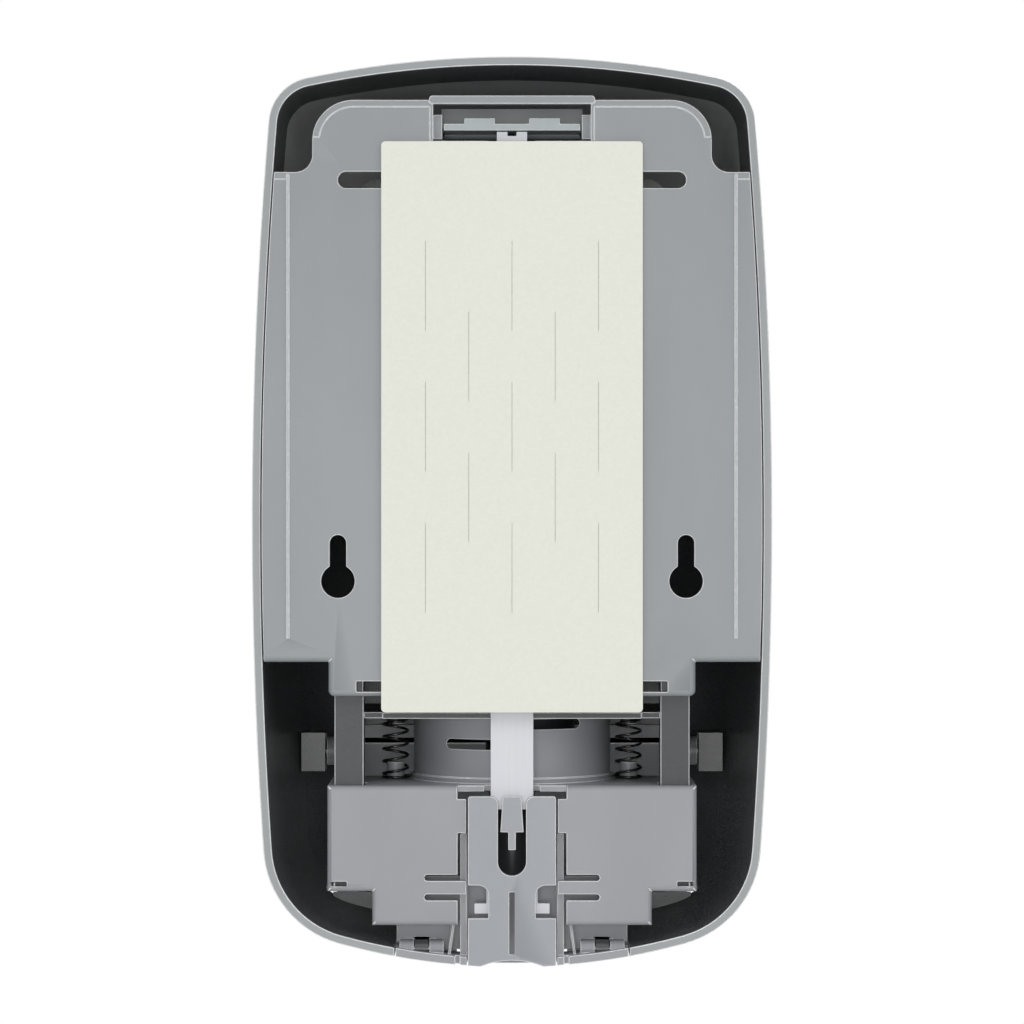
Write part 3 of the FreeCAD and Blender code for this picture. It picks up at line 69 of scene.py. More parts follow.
MM = 0.001
MESH_ANGLE = 35.0        # edges sharper than this many degrees stay sharp on numpy surfaces
COVER_ANGLE = 32.0
COPY_ANGLE = 30.0
SHEET_ANGLE = 20.0
BEVEL_ANGLE = 38.0

# The cover's openings and fittings, which follow the CAD model's
HINGE_ROOM = 1.35 * MM   # beside the hinge pins
BUTTON_ROOM = 3.55 * MM  # beside the release button
NOTCH_DEPTH = 14.1 * MM
SPOUT_HALF = 30 * MM
SPOUT_DEPTH = 22.1 * MM
SWEEP_ROOM = 13 * MM     # for the push bar's lower edge
SWEEP_RISE = 18 * MM
WINDOW_LIP = 2 * MM
EAR_HALF = 6 * MM
EAR_T = 7.4 * MM
EAR_REACH = 4.4 * MM     # past the push bar's pins
HINGE_ARM_IN = 24.5 * MM
HINGE_ARM_OUT = 28.5 * MM
HINGE_ARM_L = 14.6 * MM
HINGE_BARREL_R = 2.4 * MM
HINGE_BORE_R = 1.3 * MM
CATCH_HALF = 21 * MM
CATCH_T = 1.9 * MM
CATCH_ARM_END = 8.5 * MM  # from the cover's front
CATCH_RIB_X = 15 * MM
CATCH_RIB_H = 6 * MM
CATCH_RIB_REAR = -50 * MM
SKIRT_IN = 31 * MM
SKIRT_REAR = -60.8 * MM
SKIRT_T = 1.4 * MM
SKIRT_RISE = 15.6 * MM
PAINTED_SHADE_RISE = 30 * MM    # foot of the columns' painted shade above the carriage's lowest point
PUMP_WIRE = 0.5 * MM
PUMP_TURNS = 6.0
PAINTED_LIGHT_TOP = 34 * MM      # height of the upper dome's painted light below the housing's top
PAINTED_LIGHT_DEPTH = 30 * MM    # its start behind the rim
VIEW_MIDDLE_Z = 9.1 * MM
FLOOR_LEVEL = -0.42
FLOOR_REACH = 0.9


# ---- Colours and nodes -----------------------------------------------------------------
def linear(code):
    """An sRGB hex colour as linear red, green and blue."""
    srgb = np.array([int(code[i:i + 2], 16) for i in (0, 2, 4)]) / 255.0
    return tuple(np.where(srgb <= 0.04045, srgb / 12.92, ((srgb + 0.055) / 1.055) ** 2.4))


def add_node(tree, kind, inputs=None, **settings):
    """Adds one node: settings are its properties, inputs are values or the sockets that feed it."""
    node = tree.nodes.new(kind)
    for name, value in settings.items():
        setattr(node, name, value)
    for name, value in (inputs or {}).items():
        if isinstance(value, bpy.types.NodeSocket):
            tree.links.new(value, node.inputs[name])
        else:
            node.inputs[name].default_value = value
    return node


def shade(colour, factor):
    """A linear colour made darker or lighter, with an alpha of 1."""
    return tuple(min(1.0, c * factor) for c in colour) + (1.0,)


def surface(name, colour, **gloss):
    """An empty material with one Principled shader, whose even values are on its own sockets."""
    material = bpy.data.materials.new(name)
    material.use_nodes = True
    tree = material.node_tree
    tree.nodes.clear()
    shader = add_node(tree, "ShaderNodeBsdfPrincipled", dict({"Base Color": tuple(colour) + (1.0,)}, **gloss))
    output = add_node(tree, "ShaderNodeOutputMaterial")
    tree.links.new(shader.outputs["BSDF"], output.inputs["Surface"])
    material.diffuse_color = tuple(colour) + (1.0,)
    return material, tree, shader


def pattern(tree, size, stretch=(1.0, 1.0, 1.0), detail=3.0):
    """A noise in Object coordinates whose features are about size metres across."""
    where = add_node(tree, "ShaderNodeTexCoord")
    scaled = add_node(tree, "ShaderNodeMapping", {"Vector": where.outputs["Object"], "Scale": stretch})
    noise = add_node(tree, "ShaderNodeTexNoise", {
        "Vector": scaled.outputs["Vector"], "Scale": 1.0 / size, "Detail": detail, "Roughness": 0.55})
    return noise.outputs["Fac"]


def vary(tree, shader, socket, fac, low, high):
    """Drives a colour or a number on the shader between two values by a pattern."""
    if isinstance(low, tuple):
        ramp = add_node(tree, "ShaderNodeValToRGB", {"Fac": fac})
        ramp.color_ramp.elements[0].position = 0.32
        ramp.color_ramp.elements[1].position = 0.68
        ramp.color_ramp.elements[0].color = low
        ramp.color_ramp.elements[1].color = high
        tree.links.new(ramp.outputs["Color"], shader.inputs[socket])
    else:
        span = add_node(tree, "ShaderNodeMapRange", {
            "Value": fac, "From Min": 0.3, "From Max": 0.7, "To Min": low, "To Max": high})
        tree.links.new(span.outputs["Result"], shader.inputs[socket])


def relief(tree, shader, fac, depth, strength):
    """A bump of the given depth in metres."""
    bump = add_node(tree, "ShaderNodeBump", {"Height": fac, "Distance": depth, "Strength": strength})
    tree.links.new(bump.outputs["Normal"], shader.inputs["Normal"])


# ---- Materials -------------------------------------------------------------------------
def moulded_abs(name, colour, roughness):
    """ABS moulded against a spark-eroded steel tool: a fine satin grain of about 0.25 mm, drawn at
    0.45 mm so that it shows, faint flow marks some 30 mm long, and a soft gloss."""
    material, tree, shader = surface(name, colour, **{"IOR": 1.53, "Specular IOR Level": 0.5})
    flow = pattern(tree, 0.030, (1.0, 1.0, 0.45))
    vary(tree, shader, "Base Color", flow, shade(colour, 0.965), shade(colour, 1.035))
    grain = pattern(tree, 0.45 * MM, detail=1.5)
    vary(tree, shader, "Roughness", grain, roughness - 0.05, roughness + 0.06)
    relief(tree, shader, grain, 0.02 * MM, 0.35)
    return material


def painted_highlight_abs(name, colour):
    """The same ABS on a radiused edge, where the tool was polished: smoother and glossier, and paler as a
    painted highlight.
    """
    material, tree, shader = surface(name, colour, **{
        "IOR": 1.53, "Specular IOR Level": 0.6, "Coat Weight": 0.25, "Coat Roughness": 0.12})
    marks = pattern(tree, 1.6 * MM)
    vary(tree, shader, "Base Color", marks, shade(colour, 0.94), shade(colour, 1.03))
    vary(tree, shader, "Roughness", marks, 0.20, 0.30)
    return material


def moulded_acetal(name, colour):
    """Acetal straight from a polished tool: waxy, slightly translucent, with faint draw marks."""
    material, tree, shader = surface(name, colour, **{
        "IOR": 1.48, "Subsurface Weight": 0.08, "Subsurface Scale": 0.6 * MM})
    shader.inputs["Subsurface Radius"].default_value = (1.0, 0.95, 0.9)
    draw = pattern(tree, 1.2 * MM, (1.0, 1.0, 0.06))
    vary(tree, shader, "Base Color", draw, shade(colour, 0.97), shade(colour, 1.02))
    vary(tree, shader, "Roughness", draw, 0.30, 0.42)
    relief(tree, shader, draw, 0.01 * MM, 0.3)
    return material


def release_liner():
    """Silicone-coated kraft liner: warm off-white paper under a thin coat, with 0.6 mm paper cloud
    drawn at 1 mm."""
    colour = linear("eaebe0")
    material, tree, shader = surface("liner_siliconised_paper", colour, **{
        "IOR": 1.45, "Sheen Weight": 0.05, "Coat Weight": 0.12, "Coat Roughness": 0.35})
    cloud = pattern(tree, 1.0 * MM, detail=4.0)
    vary(tree, shader, "Base Color", cloud, shade(colour, 0.955), shade(colour, 1.0))
    vary(tree, shader, "Roughness", cloud, 0.50, 0.62)
    relief(tree, shader, cloud, 0.03 * MM, 0.35)
    return material


def foam_tape():
    """Closed-cell polyethylene foam, cut on a die: matt, with open cells of about 0.5 mm on its edge."""
    colour = linear("d9dad2")
    material, tree, shader = surface("foam_polyethylene", colour, **{"IOR": 1.4, "Sheen Weight": 0.1})
    where = add_node(tree, "ShaderNodeTexCoord")
    cells = add_node(tree, "ShaderNodeTexVoronoi", {
        "Vector": where.outputs["Object"], "Scale": 1.0 / (0.6 * MM)})
    vary(tree, shader, "Base Color", cells.outputs["Distance"], shade(colour, 1.0), shade(colour, 0.88))
    vary(tree, shader, "Roughness", cells.outputs["Distance"], 0.75, 0.9)
    relief(tree, shader, cells.outputs["Distance"], 0.08 * MM, 0.5)
    return material


def drawn_steel(name, code, stretch):
    """Steel drawn through a die or ground between centres: fine lines along or round the wire."""
    colour = linear(code)
    material, tree, shader = surface(name, colour, **{"Metallic": 1.0})
    lines = pattern(tree, 0.35 * MM, stretch, detail=2.0)
    vary(tree, shader, "Base Color", lines, shade(colour, 0.86), shade(colour, 1.06))
    vary(tree, shader, "Roughness", lines, 0.22, 0.36)
    relief(tree, shader, lines, 0.01 * MM, 0.25)
    return material


def blown_polyethylene():
    """Natural polyethylene, blow moulded: milky, with slow thickness waves about 18 mm across."""
    colour = linear("dfe2dd")
    material, tree, shader = surface("bottle_polyethylene", colour, **{
        "IOR": 1.51, "Transmission Weight": 0.25, "Subsurface Weight": 0.15, "Subsurface Scale": 2.0 * MM})
    waves = pattern(tree, 18.0 * MM)
    vary(tree, shader, "Base Color", waves, shade(colour, 0.95), shade(colour, 1.0))
    vary(tree, shader, "Roughness", waves, 0.30, 0.42)
    relief(tree, shader, waves, 0.25 * MM, 0.3)
    return material


def moulded_rubber(name, code, roughness):
    """Compression moulded rubber: matt, dusty, with a 0.5 mm orange peel."""
    colour = linear(code)
    material, tree, shader = surface(name, colour, **{"IOR": 1.52, "Sheen Weight": 0.08})
    peel = pattern(tree, 0.5 * MM, detail=2.0)
    vary(tree, shader, "Base Color", peel, shade(colour, 0.88), shade(colour, 1.08))
    vary(tree, shader, "Roughness", peel, roughness - 0.06, roughness + 0.06)
    relief(tree, shader, peel, 0.02 * MM, 0.3)
    return material


def clear_styrene():
    """Clear styrene with a grey tint: it shows the refill's level, and scuffs lightly."""
    colour = linear("b9c2c6")
    material, tree, shader = surface("window_styrene", colour, **{
        "IOR": 1.59, "Transmission Weight": 0.85})
    scuffs = pattern(tree, 0.9 * MM, (1.0, 1.0, 0.15), detail=4.0)
    vary(tree, shader, "Roughness", scuffs, 0.06, 0.20)
    return material


# ---- Meshes from whole arrays ------------------------------------------------------------
def mesh_object(name, points, faces, materials, material_index=0):
    """Puts points and faces into a mesh, smooth except across edges sharper than MESH_ANGLE degrees."""
    mesh = bpy.data.meshes.new(name)
    mesh.from_pydata(np.asarray(points).tolist(), [], np.asarray(faces).tolist()
                     if isinstance(faces, np.ndarray) else faces)
    for material in materials:
        mesh.materials.append(material)
    mesh.polygons.foreach_set("material_index", np.full(len(mesh.polygons), material_index, dtype=np.int32))
    piece = bpy.data.objects.new(name, mesh)
    bpy.context.scene.collection.objects.link(piece)
    soften(mesh, MESH_ANGLE)
    return piece


def soften(mesh, smooth_angle):
    """Smooth shading, with the edges sharper than the angle marked sharp."""
    form = bmesh.new()
    form.from_mesh(mesh)
    limit = math.radians(smooth_angle)
    for face in form.faces:
        face.smooth = True
    for edge in form.edges:
        edge.smooth = len(edge.link_faces) == 2 and edge.calc_face_angle(0.0) < limit
    form.to_mesh(mesh)
    form.free()
    mesh.update()


def grid_faces(rows, columns, closed_rows, closed_columns):
    """Quads of a grid of rows by columns, joined back to the start where it is closed."""
    r = np.arange(rows if closed_rows else rows - 1)
    c = np.arange(columns if closed_columns else columns - 1)
    r, c = np.meshgrid(r, c, indexing="ij")
    r1 = (r + 1) % rows
    c1 = (c + 1) % columns
    quads = np.stack([r * columns + c, r * columns + c1, r1 * columns + c1, r1 * columns + c], axis=-1)
    return quads.reshape(-1, 4)


def face_out(mesh):
    """Turns the faces of a closed surface outwards."""
    form = bmesh.new()
    form.from_mesh(mesh)
    bmesh.ops.recalc_face_normals(form, faces=form.faces)
    form.to_mesh(mesh)
    form.free()


def wire_coil(name, x, y, z0, z1, coil_radius, wire_radius, turns, materials, ground=0.75):
    """A round wire carried along a helix whose end turns lie flat.

    The centre line is (R cos 2 pi n u, R sin 2 pi n u) with n turns; its height follows a smooth
    step over the first and last of the turns and climbs evenly between.  The wire's circle stands
    across that line, and its two ends are closed."""
    per_turn, sides = 48, 14
    count = int(per_turn * turns)
    u = np.linspace(0.0, 1.0, count)
    climb = np.clip((u * turns - ground) / (turns - 2.0 * ground), 0.0, 1.0)
    height = z0 + wire_radius + (z1 - z0 - 2.0 * wire_radius) * climb
    angle = 2.0 * np.pi * turns * u
    line = np.stack([x + coil_radius * np.cos(angle), y + coil_radius * np.sin(angle), height], axis=1)
    along = np.gradient(line, axis=0)
    along /= np.linalg.norm(along, axis=1, keepdims=True)
    out = np.stack([np.cos(angle), np.sin(angle), np.zeros(count)], axis=1)
    out -= along * np.sum(out * along, axis=1, keepdims=True)
    out /= np.linalg.norm(out, axis=1, keepdims=True)
    up = np.cross(along, out)
    around = np.linspace(0.0, 2.0 * np.pi, sides, endpoint=False)
    ring = out[:, None] * np.cos(around)[None, :, None] + up[:, None] * np.sin(around)[None, :, None]
    points = (line[:, None] + wire_radius * ring).reshape(-1, 3)
    faces = grid_faces(count, sides, False, True).tolist()
    faces.append(list(range(sides)))
    faces.append([(count - 1) * sides + i for i in range(sides)])
    piece = mesh_object(name, points, faces, materials)
    face_out(piece.data)
    return piece


def merged_copy(name, node, materials, smooth_angle=COPY_ANGLE):
    """A new piece from a CAD node: its triangles welded, and those in one plane joined."""
    form = bmesh.new()
    form.from_mesh(frame["nodes"][node].data)
    bmesh.ops.remove_doubles(form, verts=form.verts, dist=2e-6)
    bmesh.ops.dissolve_limit(form, angle_limit=math.radians(0.4), verts=form.verts, edges=form.edges,
                             delimit={"NORMAL"})
    mesh = bpy.data.meshes.new(name)
    form.to_mesh(mesh)
    form.free()
    for material in materials:
        mesh.materials.append(material)
    piece = bpy.data.objects.new(name, mesh)
    bpy.context.scene.collection.objects.link(piece)
    soften(mesh, smooth_angle)
    return piece


def radius_edges(piece, width):
    """Rounds a piece's edges with a live Bevel, and gives the rounds the paler edge material, a painted
    highlight.
    """
    bevel = piece.modifiers.new("edge_radius", "BEVEL")
    bevel.width = width
    bevel.segments = 2
    bevel.limit_method = "ANGLE"
    bevel.angle_limit = math.radians(BEVEL_ANGLE)
    bevel.harden_normals = True
    bevel.use_clamp_overlap = False
    # the rounds take slot 1, the paler edge colour, a painted highlight
    bevel.material = 1 if len(piece.data.materials) > 1 else -1
    bevel.miter_outer = "MITER_ARC"
    return piece


def settle(piece, body, slot, *nodes):
    """Hands a piece to its body and hides the CAD nodes that it stands for; the slot is not used."""
    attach(piece, body)
    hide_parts(*nodes)
    return piece


# ---- The housing's form ----------------------------------------------------------------
class Housing:
    """The cover's outline and depth, in metres, from the sizes in the panel."""

    def __init__(self, sizes):
        low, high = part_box("front_cover")
        frame_low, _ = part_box("lower_frame")
        self.half_width = high.x
        self.top = high.z
        self.bottom = frame_low.z
        self.rim = high.y
        self.front = low.y
        self.wall = sizes.cover_wall
        self.top_arc = sizes.top_arc
        self.bottom_arc = sizes.bottom_arc
        self.side_arc = sizes.side_arc
        self.top_corner = sizes.top_corner
        self.bottom_corner = sizes.bottom_corner
        self.draft = sizes.draft
        self.front_round = sizes.front_round
        self.side_height = (self.top + self.bottom) / 2.0 - 2.4 * MM

    def inset(self, depth):
        """The section draws in by draft * t + round * (1 - sqrt(1 - t^6)) at the fraction t of the depth."""
        return self.draft * depth + self.front_round * (1.0 - np.sqrt(np.clip(1.0 - depth ** 6, 0.0, 1.0)))

    def right_side(self, inset):
        """Centres and radii of the right side's five arcs, at one inset, as in the plan of the housing."""
        smallest = 3.0 * MM
        top = (np.array([0.0, self.top - self.top_arc]), self.top_arc - inset)
        bottom = (np.array([0.0, self.bottom + self.bottom_arc]), self.bottom_arc - inset)
        side = (np.array([self.half_width - self.side_arc, self.side_height]), self.side_arc - inset)
        upper_radius = max(self.top_corner - inset, smallest)
        lower_radius = max(self.bottom_corner - inset, smallest)
        upper = (meeting(top, side, upper_radius), upper_radius)
        lower = (meeting(bottom, side, lower_radius), lower_radius)
        return top, upper, side, lower, bottom

    def outline(self, inset, counts=(22, 12, 60, 16, 24)):
        """The closed outline at one inset: each arc is centre + radius (sin a, cos a), with a between
        the points where the arcs touch, and the left half mirrors the right half."""
        arcs = self.right_side(inset)
        joints = [0.0]
        for (c0, r0), (c1, r1) in zip(arcs[:-1], arcs[1:]):
            away = (c1 - c0) if r0 > r1 else (c0 - c1)
            joints.append(math.atan2(away[0], away[1]))
        joints.append(math.pi)
        runs = []
        for (centre, radius), start, stop, count in zip(arcs, joints[:-1], joints[1:], counts):
            a = np.linspace(start, stop, count, endpoint=False)
            runs.append(centre + radius * np.stack([np.sin(a), np.cos(a)], axis=1))
        right = np.concatenate(runs + [np.array([[0.0, self.bottom + inset]])])
        left = right[-2:0:-1] * (-1.0, 1.0)
        return np.concatenate([right, left])

    def floor_rib(self, side, inner, outer, front, rear, rise):
        """A form standing on the cover's floor: its foot follows the outline, half a wall in."""
        flat = self.outline(self.inset((self.rim - rear) / (self.rim - self.front)) + 0.5 * self.wall)
        chosen = (flat[:, 0] * side > inner) & (flat[:, 0] * side < outer) & (flat[:, 1] < self.bottom + rise)
        foot = flat[chosen]
        foot = foot[np.argsort(foot[:, 0] * side)]
        top = self.bottom + rise
        profile = np.concatenate([[(foot[0, 0], top)], foot, [(foot[-1, 0], top)]])
        count = len(profile)
        points = np.concatenate([np.insert(profile, 1, y, axis=1) for y in (front, rear)])
        faces = grid_faces(2, count, False, True).tolist()
        faces.append(list(range(count)))
        faces.append(list(range(2 * count - 1, count - 1, -1)))
        return points, faces

    def shell(self, rows=40):
        """Rings of the cover from the rim to the front, and closed by rings that shrink to its middle.

        Returns the outer points and the inner points, ring by ring.  Outer ring i lies at
        y = rim + (front - rim) t with the outline drawn in by inset(t); the inner rings are the same,
        drawn in by the wall, and end at the front's inner face."""
        t = np.sin(np.linspace(0.0, 0.5 * np.pi, rows)) ** 0.8
        t = np.concatenate([t[t < 0.55], np.linspace(0.55, 1.0, rows) ** 0.7])
        t = np.unique(np.clip(t, 0.0, 1.0))
        shrink = np.linspace(1.0, 0.0, 12)[1:-1]
        skins = []
        for wall in (0.0, self.wall):
            front = self.front + wall
            rings = []
            for depth in t:
                flat = self.outline(self.inset(depth) + wall)
                y = np.full((len(flat), 1), self.rim + (front - self.rim) * depth)
                rings.append(np.hstack([flat[:, :1], y, flat[:, 1:]]))
            middle = np.array([0.0, front, (self.top + self.bottom) / 2.0])
            for share in shrink:
                ring = middle + (rings[len(t) - 1] - middle) * share
                rings.append(ring)
            skins.append(np.stack(rings))
        return skins[0], skins[1]


def meeting(first, second, inner_radius):
    """Where two circles, each made smaller by inner_radius, cross on the right."""
    (c0, r0), (c1, r1) = first, second
    r0, r1 = r0 - inner_radius, r1 - inner_radius
    between = c1 - c0
    gap = np.linalg.norm(between)
    along = (r0 * r0 - r1 * r1 + gap * gap) / (2.0 * gap)
    across = math.sqrt(max(r0 * r0 - along * along, 0.0))
    base = c0 + along * between / gap
    turn = np.array([between[1], -between[0]]) / gap
    pair = (base + across * turn, base - across * turn)
    return max(pair, key=lambda p: p[0])


# ---- Cutting ---------------------------------------------------------------------------
def block(low, high):
    """A cutter: the box between two corners."""
    x, y, z = np.meshgrid(*[(low[i], high[i]) for i in range(3)], indexing="ij")
    points = np.stack([x.ravel(), y.ravel(), z.ravel()], axis=1)
    faces = [(0, 1, 3, 2), (4, 6, 7, 5), (0, 4, 5, 1), (2, 3, 7, 6), (0, 2, 6, 4), (1, 5, 7, 3)]
    return points, faces


def slot_cutter(half, z0, z1, y0, y1, steps=24):
    """A cutter: an upright slot with round ends, drawn in X and Z and carried along Y."""
    a = np.linspace(0.0, np.pi, steps)
    upper = np.stack([half * np.cos(a), z1 - half + half * np.sin(a)], axis=1)
    lower = np.stack([-half * np.cos(a), z0 + half - half * np.sin(a)], axis=1)
    flat = np.concatenate([upper, lower])
    count = len(flat)
    points = np.concatenate([np.insert(flat, 1, y, axis=1) for y in (y0, y1)])
    faces = grid_faces(2, count, False, True).tolist()
    faces.append(list(range(count)))
    faces.append(list(range(2 * count - 1, count - 1, -1)))
    return points, faces


def bar_cutter(radius, x0, x1, y, z, steps=32):
    """A cutter: a round bar along X."""
    a = np.linspace(0.0, 2.0 * np.pi, steps, endpoint=False)
    ring = np.stack([np.zeros(steps), y + radius * np.cos(a), z + radius * np.sin(a)], axis=1)
    points = np.concatenate([ring + (x0, 0.0, 0.0), ring + (x1, 0.0, 0.0)])
    faces = grid_faces(2, steps, False, True).tolist()
    faces.append(list(range(steps)))
    faces.append(list(range(2 * steps - 1, steps - 1, -1)))
    return points, faces


def combine(piece, cutters, operation, material_index=0):
    """Cuts the forms out of a piece, or joins them to it, and keeps the result as its mesh."""
    finish = list(piece.data.materials)
    for points, faces in cutters:
        tool = mesh_object("tool", points, faces, finish, material_index=material_index)
        face_out(tool.data)
        boolean = piece.modifiers.new("cut", "BOOLEAN")
        boolean.operation = operation
        boolean.solver = "EXACT"
        boolean.object = tool
        graph = bpy.context.evaluated_depsgraph_get()
        result = bpy.data.meshes.new_from_object(piece.evaluated_get(graph))
        piece.modifiers.clear()
        old = piece.data
        piece.data = result
        bpy.data.meshes.remove(old)
        bpy.data.objects.remove(tool)
    return piece


# ---- Sizes and colours that a user would change ------------------------------------------
def length(name, description, value):
    """A length property, given in millimetres."""
    return bpy.props.FloatProperty(name=name, description=description, default=value * MM,
                                   min=0.0, unit="LENGTH", subtype="DISTANCE", precision=5)


def colour(name, description, code):
    """A colour property, given as an sRGB hex value."""
    return bpy.props.FloatVectorProperty(name=name, description=description, default=linear(code),
                                         size=3, min=0.0, max=1.0, subtype="COLOR")


class DispenserSizes(bpy.types.PropertyGroup):
    """Sizes of the mouldings that the CAD model doesn't already fix."""
    cover_wall: length("Cover wall", "Thickness of the cover's wall", 2.5)
    top_arc: length("Top arc", "Radius of the cover's top edge", 295.0)
    bottom_arc: length("Bottom arc", "Radius of the cover's bottom edge", 191.0)
    side_arc: length("Side arc", "Radius of the cover's long sides", 1400.0)
    top_corner: length("Top corners", "Radius of the two upper corners", 14.0)
    bottom_corner: length("Bottom corners", "Radius of the two lower corners", 30.0)
    draft: length("Draft", "How far the sides lean in from the rim to the front", 4.0)
    front_round: length("Front rounding", "Width of the rounding into the front face", 22.0)
    bar_half: length("Bar opening", "Half the width of the push bar's opening", 56.0)
    bar_top: length("Bar opening height", "Top of the push bar's opening above the housing's bottom", 61.8)
    bar_depth: length("Bar opening depth", "Depth behind the rim at which the bar's opening starts", 76.1)
    edge_radius: length("Edge radius", "Radius moulded on the plastic edges", 0.30)
    fine_edge_radius: length("Fine edge radius", "Radius on the small mouldings' edges", 0.22)
    spring_wire: length("Spring wire", "Radius of the return springs' wire", 0.4)
    spring_radius: length("Spring radius", "Radius of the return springs' centre line", 3.7)
    spring_turns: bpy.props.FloatProperty(name="Spring turns", description="Turns of each return spring",
                                          default=6.5, min=2.0)


class DispenserColours(bpy.types.PropertyGroup):
    """Colours of the mouldings."""
    plate: colour("Back plate", "Grey ABS of the back plate", "95999c")
    cover: colour("Cover", "Grey ABS of the cover", "9ca0a2")
    # painted shade: the inside is the same grey ABS as the outside; its dark grey stands in for the shade
    # inside the housing
    painted_shade_lining: colour("Cover inside", "The cover's darker, polished inner skin", "4c4e50")
    # painted light: the pale inside of the upper dome stands in for light falling into it, on the same grey
    # ABS
    painted_light_dome: colour("Cover dome inside", "The paler inside of the cover's upper dome", "eeefef")
    # painted shade: the columns are the frame's grey ABS; their darker grey stands in for the shade under the
    # back plate
    column: colour("Frame columns", "Darker grey of the frame's two columns", "3c3f41")
    # painted shade: the pump's and cap's dark grey stands in for the shade inside the housing
    pump: colour("Pump", "Dark grey polypropylene of the pump and the refill's cap", "3b3d3f")
    carriage: colour("Carriage", "Grey ABS of the carriage and frame", "999ba0")
    button: colour("Button", "Grey ABS of the release button", "9b9ea3")
    # painted highlight: the pale edge colour stands in for the bright lines that light draws along the
    # rounded edges
    edge: colour("Edges", "Burnished edges of the ABS mouldings", "e2e4e6")
    latch: colour("Latch", "Light grey acetal of the latch", "b2babc")
    rod: colour("Release rod", "White acetal of the release rod", "d6d8dd")


class Parts:
    """What the operators share: the sizes, the colours and each material, made once."""
    made = {}

    @classmethod
    def material(cls, name):
        if name not in cls.made:
            hue = bpy.context.scene.dispenser_colours
            makers = {
                "plate": lambda: moulded_abs("plate_abs_satin", hue.plate, 0.40),
                "cover": lambda: moulded_abs("cover_abs_satin", hue.cover, 0.38),
                "carriage": lambda: moulded_abs("carriage_abs_satin", hue.carriage, 0.40),
                "button": lambda: moulded_abs("button_abs_satin", hue.button, 0.36),
                "painted_shade_lining": lambda: moulded_abs("cover_abs_inside_painted_shade", hue.painted_shade_lining, 0.30),
                "painted_light_dome": lambda: moulded_abs("cover_abs_dome_painted_light", hue.painted_light_dome, 0.36),
                "column": lambda: moulded_abs("frame_abs_column_painted_shade", hue.column, 0.42),
                # the edges' and the rod's edges' paler colours are painted highlights
                "edge": lambda: painted_highlight_abs("abs_edge_painted_highlight", hue.edge),
                "latch": lambda: moulded_acetal("latch_acetal_waxy", hue.latch),
                "rod": lambda: moulded_acetal("rod_acetal_waxy", hue.rod),
                "rod_painted_highlight": lambda: painted_highlight_abs("acetal_edge_painted_highlight", shade(hue.rod, 1.06)[:3]),
                "liner": release_liner,
                "foam": foam_tape,
                # painted shade: the springs' dark steel tone stands in for the shade of the spring bays
                "spring": lambda: drawn_steel("spring_steel_painted_shade", "5b5855", (1.0, 1.0, 0.2)),
                "pin": lambda: drawn_steel("pin_steel_ground", "8f9193", (0.1, 1.0, 1.0)),
                "bottle": blown_polyethylene,
                "pump": lambda: moulded_acetal("pump_polypropylene_painted_shade", hue.pump),
                "rubber": lambda: moulded_rubber("seal_rubber_moulded", "1d1c1b", 0.62),
                "nozzle": lambda: moulded_rubber("nozzle_elastomer_soft", "bfbfbb", 0.50),
                "window": clear_styrene,
            }
            cls.made[name] = makers[name]()
        return cls.made[name]

    @classmethod
    def finish(cls, *names):
        return [cls.material(name) for name in names]


class DispenserOperator:
    """What every piece's operator has in common."""
    bl_options = {"REGISTER", "UNDO"}

    @staticmethod
    def centre(node):
        low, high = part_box(node)
        return (low + high) / 2.0

    @staticmethod
    def stand_in(piece, *nodes):
        """The piece rides on the first node's body and replaces the nodes."""
        record = frame["record"]
        body = next(b for b, members in record["behaviour"]["bodies"].items() if nodes[0] in members)
        slots = {part["node"]: part["material_slot"] for part in record["subparts"]}
        return settle(piece, body, slots[nodes[0]], *nodes)


